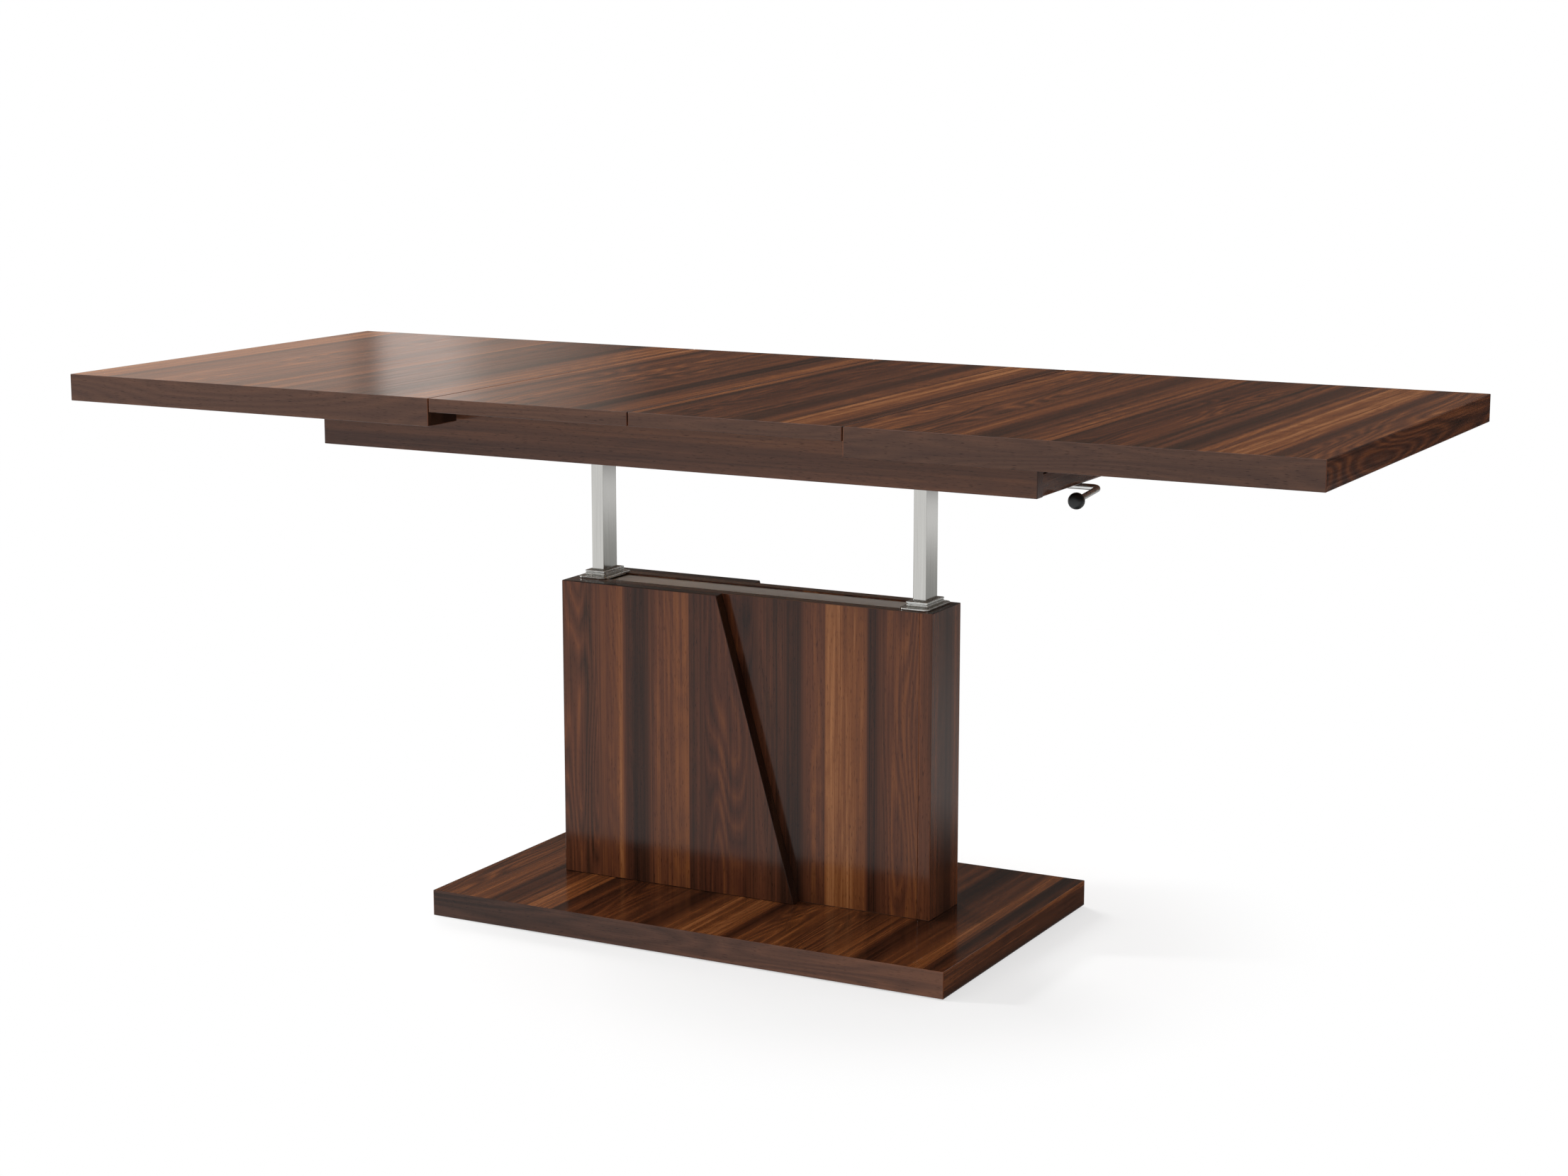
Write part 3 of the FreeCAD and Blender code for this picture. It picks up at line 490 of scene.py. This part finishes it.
# Its tone falls towards the back by the drift: painted shade where the column and the top shade the
# base.
WALNUT_BASE = walnut("walnut_foil_base", "Y", -362, BASE_SHADE_TONES, drift=-0.4, swing=1.3)
WALNUT_COLUMN = walnut("walnut_foil_column", "Z", -325, COLUMN_SHADE_TONES)
WALNUT_SIDE = walnut("walnut_foil_column_side", "Z", -66)
WALNUT_RAISED = walnut("walnut_foil_raised_panel", "Z", -343, COLUMN_SHADE_TONES)
WALNUT_APRON = walnut("walnut_foil_apron", "X", 242, APRON_TONES, drift=0.15)
WALNUT_END = walnut("walnut_foil_apron_end", "Y", 71, APRON_TONES)
# A much darker copy of the walnut, painted shade: on the raised panels' rims, the inner ends of the
# lips, the tongues in the seams and the walls of the notches.
WALNUT_SHADED = walnut("walnut_edging_raised_panel", "Z", 32, SHADED_TONES)
# Edging by the axis that an edge runs along.
EDGING = {
    "X": walnut("walnut_edging_along_x", "X", 99.5, EDGE_TONES),
    "Y": walnut("walnut_edging_along_y", "Y", 260, BASE_SHADE_TONES, swing=1.4),
    "Z": walnut("walnut_edging_along_z", "Z", 67),
}
# The base's edging grows lighter to the right by its drift: painted light and shade along its front
# edge.
BASE_EDGING = dict(EDGING, X=walnut("walnut_edging_base", "X", 99.5, BASE_EDGE_TONES, drift=0.8))
APRON_EDGING = dict.fromkeys("XYZ", walnut("walnut_edging_apron", "Z", 32, APRON_TONES))
RAISED_SHADED_EDGING = dict.fromkeys("XYZ", WALNUT_SHADED)
made = ("walnut_foil", "walnut_edging")
walnuts = [material.name for material in bpy.data.materials if material.name.startswith(made)]
print(len(walnuts), "walnut finishes:", ", ".join(walnuts))

# %% [markdown]
# ## Metals, plastics, felt and beech
#
# The posts are chromed steel tube with a satin brush along their length. The collars are satin
# chrome, the lever is bright chrome, and the strip on the column is satin steel. Plates and
# screws are zinc plated, the hidden tubes painted black. The knob is moulded black plastic, the
# bushes and bearing blocks are nylon, the glides are felt, and the runners and bearers inside
# are plain beech. Each finish has a little noise in its gloss, because no real surface is quite
# even.

# %% The other materials
# Two colours, whether it is a metal, the range of its roughness, the size of its grain along X,
# Y and Z in millimetres, and its relief in millimetres.
FINISH_TABLE = {
    "satin_chromed_steel": (("bab9b6", "cccbc7"), 1.0, (0.09, 0.15), (0.8, 0.8, 120), 0.01),
    "satin_steel_strip": (("d8d4ce", "ece8e3"), 1.0, (0.34, 0.44), (120, 0.8, 0.8), 0.01),
    "satin_chrome": (("cfd0cd", "e0e1de"), 1.0, (0.2, 0.28), (6, 6, 6), 0.004),
    "polished_chrome": (("c9cac9", "dadbd9"), 1.0, (0.07, 0.14), (6, 6, 6), 0.004),
    "zinc_plated_steel": (("8f9296", "b2b4b6"), 1.0, (0.34, 0.5), (5, 5, 5), 0.01),
    "black_painted_steel": (("17171a", "222225"), 0.0, (0.4, 0.55), (1.2, 1.2, 1.2), 0.03),
    "black_nylon": (("1c1c1d", "2a2a2b"), 0.0, (0.45, 0.6), (2, 2, 2), 0.02),
    "black_moulded_plastic": (("101314", "181c1d"), 0.0, (0.30, 0.40), (1.5, 1.5, 1.5), 0.02),
    "pressed_felt": (("332e2a", "4b443e"), 0.0, (0.9, 1.0), (0.9, 0.9, 0.9), 0.3),
    "planed_beech": (("b98a5c", "d3a878"), 0.0, (0.45, 0.6), (240, 3, 3), 0.03),
    "raw_chipboard": (("8a6a48", "b0885c"), 0.0, (0.8, 0.95), (2.2, 2.2, 2.2), 0.3),
}
FINISH_DETAIL = 3.0
FINISH_RELIEF_STRENGTH = 0.3


def finish(name, colours, metallic, gloss, grain_mm, relief_mm):
    """A finish whose colour, roughness and relief follow one stretched noise."""
    material, tree, shader, place = start_material(name)
    scale = [1 / (size * MM) for size in grain_mm]
    stretched = add(tree, "Mapping", {"Vector": place, "Scale": scale}).outputs[0]
    noise = add(tree, "TexNoise", {"Vector": stretched, "Scale": 1.0,
                                   "Detail": FINISH_DETAIL}).outputs["Fac"]
    colour = add(tree, "ValToRGB", {"Fac": noise}, stops=tuple(zip(NOISE_SPAN, colours)))
    rough = ranged(tree, noise, NOISE_SPAN, gloss)
    bump = add(tree, "Bump", {"Height": noise, "Strength": FINISH_RELIEF_STRENGTH,
                              "Distance": relief_mm * MM})
    tree.links.new(colour.outputs["Color"], shader.inputs["Base Color"])
    tree.links.new(rough, shader.inputs["Roughness"])
    tree.links.new(bump.outputs[0], shader.inputs["Normal"])
    shader.inputs["Metallic"].default_value = metallic
    return material


FINISHES = {name: finish(name, *values) for name, values in FINISH_TABLE.items()}
print(len(FINISHES), "more finishes")

# %% [markdown]
# ## Carried-over nodes
#
# Most of the pieces inside the frame keep the imported mesh. They only need the right finish and a
# softened edge. The imported meshes are loose triangles, so a Weld joins them first, a Bevel then
# rounds the sharp edges by a fraction of a millimetre, and weighted normals keep the flat faces
# flat. The thin tie strip on the column only gets its finish.

# %% Finish the carried-over nodes
# For each group of nodes, the finish and the words that its nodes have in their names.
NODE_FINISHES = {
    "beech": ("planed_beech",
              ["runner", "battens", "bearer", "guide_strip", "corner_blocks", "dowels"]),
    "zinc_steel": ("zinc_plated_steel", ["post_plate", "screws", "bolts", "crank", "pins",
                                         "release_shaft", "foot_plate"]),
    "satin_steel": ("satin_chromed_steel", ["piston_rods"]),
    "black_steel": ("black_painted_steel", ["outer_tube", "cylinders"]),
    "nylon": ("black_nylon", ["bushes", "lever_blocks", "shaft_blocks"]),
    "chrome": ("polished_chrome", ["lever_rod"]),
    "felt": ("pressed_felt", ["glides", "leaf_pads"]),
}
WELD_MM = 0.002
ARRIS_MM = 0.4
ARRIS_STEPS = 2
ARRIS_ANGLE = math.radians(40)


def coat(piece, name):
    """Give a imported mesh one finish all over."""
    piece.data.materials.clear()
    piece.data.materials.append(FINISHES[name])


def soften(piece):
    """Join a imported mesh's triangles and round its sharp edges, as live modifiers."""
    weld = piece.modifiers.new("weld", "WELD")
    weld.merge_threshold = WELD_MM * MM
    bevel = piece.modifiers.new("arris", "BEVEL")
    bevel.width = ARRIS_MM * MM
    bevel.segments = ARRIS_STEPS
    bevel.limit_method = "ANGLE"
    bevel.angle_limit = ARRIS_ANGLE
    normals = piece.modifiers.new("normals", "WEIGHTED_NORMAL")
    normals.keep_sharp = False


softened = []
for slot, (name, words) in NODE_FINISHES.items():
    for node, piece in frame["nodes"].items():
        if any(word in node for word in words):
            coat(piece, name)
            soften(piece)
            softened.append(node)
coat(frame["nodes"]["tie_strip"], "satin_steel_strip")
print(len(softened), "softened nodes and the tie strip")

# %% [markdown]
# ## Boards
#
# A decor board is cut square and gets a thin plastic edging, whose sharp corner is scraped
# round. A box with sharp edges catches no light there and looks false. Each board starts as a
# cube at the node's size and place. Its outer edges are bevelled, its two faces are inset by the
# edging's thickness, and then the faces take the decor and the rim takes the edging, with its
# grain along the edge.

# %% Helpers for modelling
SMOOTH_ANGLE = math.radians(35)
BODY_OF = {}
for body, members in frame["record"]["behaviour"]["bodies"].items():
    for node in members:
        BODY_OF[node] = body


def only(piece):
    """Make a piece the only one that is selected."""
    bpy.ops.object.select_all(action="DESELECT")
    piece.select_set(True)
    bpy.context.view_layer.objects.active = piece


def start_block(name, low, high):
    """A cube between two corners, with its place in its mesh."""
    bpy.ops.object.select_all(action="DESELECT")
    bpy.ops.mesh.primitive_cube_add(size=1, location=(low + high) / 2)
    piece = bpy.context.object
    piece.name = name
    piece.scale = high - low
    bpy.ops.object.transform_apply(location=True, rotation=True, scale=True)
    return piece


def pick(piece, kind, test):
    """In edit mode, select only the verts, edges or faces that pass a test."""
    bpy.ops.mesh.select_mode(type=kind)
    bpy.ops.mesh.select_all(action="DESELECT")
    mesh = bmesh.from_edit_mesh(piece.data)
    items = {"VERT": mesh.verts, "EDGE": mesh.edges, "FACE": mesh.faces}[kind]
    for item in items:
        if test(item):
            item.select_set(True)
    mesh.select_flush_mode()
    bmesh.update_edit_mesh(piece.data)


def combine(piece, tool, operation):
    """Add a tool to a piece or take it away, and delete the tool."""
    only(piece)
    change = piece.modifiers.new("combine", "BOOLEAN")
    change.operation = operation
    change.solver = "EXACT"
    change.material_mode = "TRANSFER"
    change.object = tool
    bpy.ops.object.modifier_apply(modifier=change.name)
    bpy.data.objects.remove(tool)


def flatten(piece):
    """Shade a piece smooth where it is round and keep its large faces flat."""
    only(piece)
    bpy.ops.object.shade_smooth_by_angle(angle=SMOOTH_ANGLE)
    normals = piece.modifiers.new("normals", "WEIGHTED_NORMAL")
    normals.keep_sharp = True
    bpy.ops.object.modifier_apply(modifier=normals.name)


def hand_over(piece, node):
    """Let a finished piece stand for its node and ride on the node's body."""
    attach(piece, BODY_OF[node])
    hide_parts(node)


print(len(BODY_OF), "nodes have a body")

# %% Make the boards
EDGING_MM = 1.0
EDGE_RADIUS_MM = 0.9
EDGE_STEPS = 3
TOUCH = 0.01 * MM
# From this share of its normal on, a face counts as facing along an axis.
FACING_SHARE = 0.99


def longest_axis(polygon, mesh):
    """The axis along which a polygon is longest."""
    points = [mesh.vertices[index].co for index in polygon.vertices]
    spans = [max(p[axis] for p in points) - min(p[axis] for p in points) for axis in range(3)]
    return "XYZ"[spans.index(max(spans))]


def dress(piece, face_axis, decor, edging):
    """Give the two large faces the decor, and the rim the edging with its grain along the edge."""
    materials = list(dict.fromkeys((decor, *edging.values())))
    for material in materials:
        piece.data.materials.append(material)
    for polygon in piece.data.polygons:
        flat = abs(polygon.normal[face_axis]) > FACING_SHARE
        material = decor if flat else edging[longest_axis(polygon, piece.data)]
        polygon.material_index = materials.index(material)
    flatten(piece)


def board(node, face_axis, decor, around=(), slope=0, edging=EDGING):
    """A decor board with edging, rounded where it lies on the outside of the nodes around it.

    With no nodes around it, all its edges are rounded. A slope moves the right end of its top
    edge along X.
    """
    low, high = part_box(node)
    corners = [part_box(name) for name in around or (node,)]
    outer = [min(corner[0][axis] for corner in corners) for axis in range(3)]
    outer += [max(corner[1][axis] for corner in corners) for axis in range(3)]
    middle = (low + high) / 2
    piece = start_block(f"{node}_board", low, high)

    def outside(edge):
        centre = (edge.verts[0].co + edge.verts[1].co) / 2
        return sum(abs(centre[index % 3] - limit) < TOUCH for index, limit in enumerate(outer)) >= 2

    bpy.ops.object.mode_set(mode="EDIT")
    pick(piece, "EDGE", outside)
    bpy.ops.mesh.bevel(offset=EDGE_RADIUS_MM * MM, segments=EDGE_STEPS, affect="EDGES")
    pick(piece, "FACE", lambda face: abs(face.normal[face_axis]) > FACING_SHARE)
    bpy.ops.mesh.inset(thickness=EDGING_MM * MM, depth=0)
    pick(piece, "VERT", lambda vert: vert.co.x > middle.x and vert.co.z > middle.z)
    bpy.ops.transform.translate(value=(slope, 0, 0))
    bpy.ops.object.mode_set(mode="OBJECT")
    dress(piece, face_axis, decor, edging)
    hand_over(piece, node)
    return piece


boards = []
for side in ("left", "right"):
    shell = [f"{side}_{name}" for name in ("top_panel", "front_lip", "back_lip", "end_lip")]
    for node in shell:
        boards.append(board(node, 2, WALNUT_TOP, shell))
    boards.append(board(f"{side}_leaf", 2, WALNUT_TOP))
    boards.append(board(f"column_{side}_side", 0, WALNUT_SIDE))
for face in ("front", "back"):
    boards.append(board(f"column_{face}_panel", 1, WALNUT_COLUMN))
    boards.append(board(f"{face}_rail", 1, WALNUT_APRON, edging=APRON_EDGING))
base_board = board("base_plate", 2, WALNUT_BASE, edging=BASE_EDGING)
boards.append(base_board)
print(len(boards), "boards")

# %% Paint shade on the inner ends of the lips
# They lie in the gaps under the leaves, and the shaded walnut on them is painted shade.
for side, inwards in (("left", 1), ("right", -1)):
    for face in ("front", "back"):
        lip = bpy.data.objects[f"{side}_{face}_lip_board"]
        lip.data.materials.append(WALNUT_SHADED)
        for polygon in lip.data.polygons:
            if polygon.normal.x * inwards > FACING_SHARE:
                polygon.material_index = len(lip.data.materials) - 1
        print(lip.name, "has", len(lip.data.materials), "finishes")

# %% [markdown]
# ## Tongues in the seams
#
# The leaves meet each other and the half tops at open seams, which look dark and not white,
# because a thin tongue low on the leaf's edge stops the light, and painted shade in the tongue's
# colour darkens them further. The tongue ends just short of the front, where the seam stays open.
# It is a small block that a Boolean joins to the board.

# %% Close the seams from below
TONGUE_MM = {"reach": 1.3, "hold": 2.0, "end": 8, "low": 2.0, "high": 10.0}


def tongue(node, turned):
    """Join a tongue to a leaf, on its right side for 1 and on its left side for -1."""
    piece = bpy.data.objects[f"{node}_board"]
    low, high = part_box(node)
    size = {name: size_mm * MM for name, size_mm in TONGUE_MM.items()}
    edge = high.x if turned > 0 else low.x
    span = sorted((edge - turned * size["hold"], edge + turned * size["reach"]))
    strip = start_block("tongue",
                        Vector((span[0], low.y + size["end"], low.z + size["low"])),
                        Vector((span[1], high.y - size["end"], low.z + size["high"])))
    # The tongue takes the shaded walnut: painted shade deep in the seam.
    strip.data.materials.append(WALNUT_SHADED)
    combine(piece, strip, "UNION")
    flatten(piece)
    print(piece.name, len(piece.data.polygons), "faces")


tongue("left_leaf", -1)
tongue("left_leaf", 1)
tongue("right_leaf", 1)

# %% [markdown]
# ## Bolt holes in the base
#
# From below, four bolts hold the lift to the base, sunk in wide holes that show the raw
# chipboard. A hole could be drawn as a dark spot, but a cut one is right from every side. A
# round tool of the hole's size is taken away from the board with a Boolean, for the head and the
# shank of each bolt.

# %% Sink the bolt holes
BOLT_PLACES_MM = (-180, -70, 70, 180)
# Width and depth of each recess for a bolt's head, and of the hole for its shank.
BOLT_HOLES_MM = ((18, 10), (8, 40))
BOLT_SEGMENTS = 48

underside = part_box("base_plate")[0].z
for place_mm in BOLT_PLACES_MM:
    for wide_mm, deep_mm in BOLT_HOLES_MM:
        bpy.ops.object.select_all(action="DESELECT")
        bpy.ops.mesh.primitive_cylinder_add(
            vertices=BOLT_SEGMENTS, radius=wide_mm * MM / 2, depth=2 * deep_mm * MM,
            location=(place_mm * MM, 0, underside))
        tool = bpy.context.object
        tool.data.materials.append(FINISHES["raw_chipboard"])
        combine(base_board, tool, "DIFFERENCE")
flatten(base_board)
print(base_board.name, len(base_board.data.polygons), "faces,", len(BOLT_PLACES_MM), "bolt holes")

# %% [markdown]
# ## End rails
#
# The end rails close the apron frame. The runners of the half tops pass over them through two
# notches, with a little air below each runner that shows from the end. The rails are boards too,
# and the notches are cut like the bolt holes, with a block as the tool.

# %% Make the end rails
NOTCH_SIDES_MM = (238, 255)
NOTCH_FLOOR_MM = 684
# How far the tool stands out of the rail, so that it cuts clean through.
NOTCH_PAST_MM = 0.4

for side in ("left", "right"):
    node = f"{side}_end_rail"
    rail = board(node, 0, WALNUT_END, edging=APRON_EDGING)
    low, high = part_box(node)
    past = NOTCH_PAST_MM * MM
    for turned in (1, -1):
        span = sorted(turned * place_mm * MM for place_mm in NOTCH_SIDES_MM)
        tool = start_block("notch", Vector((low.x - past, span[0], NOTCH_FLOOR_MM * MM)),
                           Vector((high.x + past, span[1], high.z + past)))
        # The cut walls take the shaded walnut: painted shade inside the notch.
        tool.data.materials.append(WALNUT_SHADED)
        combine(rail, tool, "DIFFERENCE")
    flatten(rail)
    print(rail.name, len(rail.data.polygons), "faces")

# %% [markdown]
# ## Raised panels
#
# On both faces of the column a second board is glued on, cut off at a slant, so that its edge
# throws a shadow on the column. It is a board like the others. Only the right end of its top
# edge is moved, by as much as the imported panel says.

# %% Make the raised panels
for face in ("front", "back"):
    node = f"raised_{face}_panel"
    low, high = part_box(node)
    points = [vertex.co for vertex in frame["nodes"][node].data.vertices]
    lean = max(point.x for point in points if high.z - point.z < TOUCH) - high.x
    # Its rim takes the shaded walnut: painted shade on the slanted edge, besides the shadow that
    # the edge really throws.
    board(node, 1, WALNUT_RAISED, slope=lean, edging=RAISED_SHADED_EDGING)
    print(node, "leans by", round(lean / MM, 1), "mm")

# %% [markdown]
# ## Posts
#
# The posts are rectangular steel tube with small rounded corners, chromed and brushed. A block
# is rounded on its four upright edges, its ends are inset by the wall, and bridging the two
# inset faces cuts the bore.

# %% Make the posts
POST_CORNER_MM = 1.5
POST_WALL_MM = 1.5
CORNER_STEPS = 4


def upright(edge):
    """Whether an edge stands along Z."""
    return abs((edge.verts[0].co - edge.verts[1].co).normalized().z) > FACING_SHARE


for side in ("left", "right"):
    node = f"{side}_post"
    post = start_block(f"{node}_tube", *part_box(node))
    bpy.ops.object.mode_set(mode="EDIT")
    pick(post, "EDGE", upright)
    bpy.ops.mesh.bevel(offset=POST_CORNER_MM * MM, segments=CORNER_STEPS, affect="EDGES")
    pick(post, "FACE", lambda face: abs(face.normal.z) > FACING_SHARE)
    bpy.ops.mesh.inset(thickness=POST_WALL_MM * MM, depth=0)
    bpy.ops.mesh.bridge_edge_loops()
    bpy.ops.object.mode_set(mode="OBJECT")
    flatten(post)
    post.data.materials.append(FINISHES["satin_chromed_steel"])
    hand_over(post, node)
    print(node, len(post.data.polygons), "faces")

# %% [markdown]
# ## Collars
#
# Where each post enters the column, a cast collar hides the gap: a flange with rounded corners
# and two ridges with a groove under each. It could be turned as one outline, but it isn't round,
# so it is stacked from blocks with rounded edges, fused by Booleans, and bored for the post.

# %% Make the collars
FLANGE_MM = 3.0
FLANGE_CORNER_MM = 8
RIDGES = 2
RIDGE_MARGINS_MM = (6, 11)
RIDGE_CORNER_MM = 2
RIDGE_ARRIS_MM = 0.7
GROOVE_MM = 0.9
GROOVE_INSET_MM = 1.2
POST_FIT_MM = 0.3
RIM_ANGLE = math.radians(60)


def rounded_block(name, low, high, corner_mm, arris_mm):
    """A block with rounded upright edges and softened rims."""
    piece = start_block(name, low, high)
    bpy.ops.object.mode_set(mode="EDIT")
    pick(piece, "EDGE", upright)
    bpy.ops.mesh.bevel(offset=corner_mm * MM, segments=CORNER_STEPS, affect="EDGES")
    pick(piece, "EDGE", lambda edge: edge.calc_face_angle(0) > RIM_ANGLE)
    bpy.ops.mesh.bevel(offset=arris_mm * MM, segments=EDGE_STEPS, affect="EDGES")
    bpy.ops.object.mode_set(mode="OBJECT")
    return piece


for side in ("left", "right"):
    node = f"{side}_collar"
    low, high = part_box(node)
    margin = Vector((*RIDGE_MARGINS_MM, 0)) * MM
    groove = Vector((GROOVE_INSET_MM, GROOVE_INSET_MM, 0)) * MM
    flange_top = low.z + FLANGE_MM * MM
    ridge = (high.z - flange_top) / RIDGES
    collar = rounded_block(f"{node}_casting", low, Vector((high.x, high.y, flange_top)),
                           FLANGE_CORNER_MM, RIDGE_ARRIS_MM)
    core = rounded_block("core", low + margin + groove, high - margin - groove,
                         RIDGE_CORNER_MM, RIDGE_ARRIS_MM / 2)
    combine(collar, core, "UNION")
    for count in range(RIDGES):
        ring_low, ring_high = low + margin, high - margin
        ring_low.z = flange_top + count * ridge + GROOVE_MM * MM
        ring_high.z = flange_top + (count + 1) * ridge
        ring = rounded_block("ring", ring_low, ring_high, RIDGE_CORNER_MM, RIDGE_ARRIS_MM)
        combine(collar, ring, "UNION")
    post_low, post_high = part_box(f"{side}_post")
    fit = Vector((POST_FIT_MM, POST_FIT_MM, 0)) * MM
    throat = start_block("throat", post_low - fit, post_high + fit)
    combine(collar, throat, "DIFFERENCE")
    flatten(collar)
    collar.data.materials.clear()
    collar.data.materials.append(FINISHES["satin_chrome"])
    hand_over(collar, node)
    print(node, len(collar.data.polygons), "faces")

# %% [markdown]
# ## The knob
#
# The lever ends in a moulded ball with a flattened front and a short neck round the rod. A
# sphere with its poles along the rod is a good start: its front cap is pressed flat, and the cap
# at the back is pulled out.

# %% Make the knob
LEVER_DROOP_DEGREES = 4.8
KNOB_SEGMENTS = 40
KNOB_RINGS = 24
FRONT_SHARE = 0.78
FLAT_SHARE = 0.35
NECK_SHARE = 0.84
NECK_MM = 3.5

low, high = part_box("lever_knob")
middle = (low + high) / 2
radius = (high.x - low.x) / 2
droop = math.radians(LEVER_DROOP_DEGREES)
arm = Vector((0, -math.cos(droop), -math.sin(droop)))
bpy.ops.object.select_all(action="DESELECT")
bpy.ops.mesh.primitive_uv_sphere_add(
    segments=KNOB_SEGMENTS, ring_count=KNOB_RINGS, radius=radius, location=middle,
    rotation=arm.to_track_quat("Z", "Y").to_euler())
knob = bpy.context.object
knob.name = "lever_knob_ball"
bpy.ops.object.transform_apply(location=True, rotation=True, scale=True)
bpy.ops.object.mode_set(mode="EDIT")
front = FRONT_SHARE * radius
pick(knob, "VERT", lambda vert: (vert.co - middle).dot(arm) > front)
bpy.ops.transform.resize(value=(1, FLAT_SHARE, 1), center_override=middle + arm * front)
neck = -NECK_SHARE * radius
pick(knob, "FACE", lambda face: (face.calc_center_median() - middle).dot(arm) < neck)
bpy.ops.mesh.extrude_region_move(TRANSFORM_OT_translate={"value": -arm * NECK_MM * MM})
bpy.ops.object.mode_set(mode="OBJECT")
bpy.ops.object.shade_smooth_by_angle(angle=SMOOTH_ANGLE)
knob.data.materials.append(FINISHES["black_moulded_plastic"])
hand_over(knob, "lever_knob")
print("knob of radius", round(radius / MM, 2), "mm")
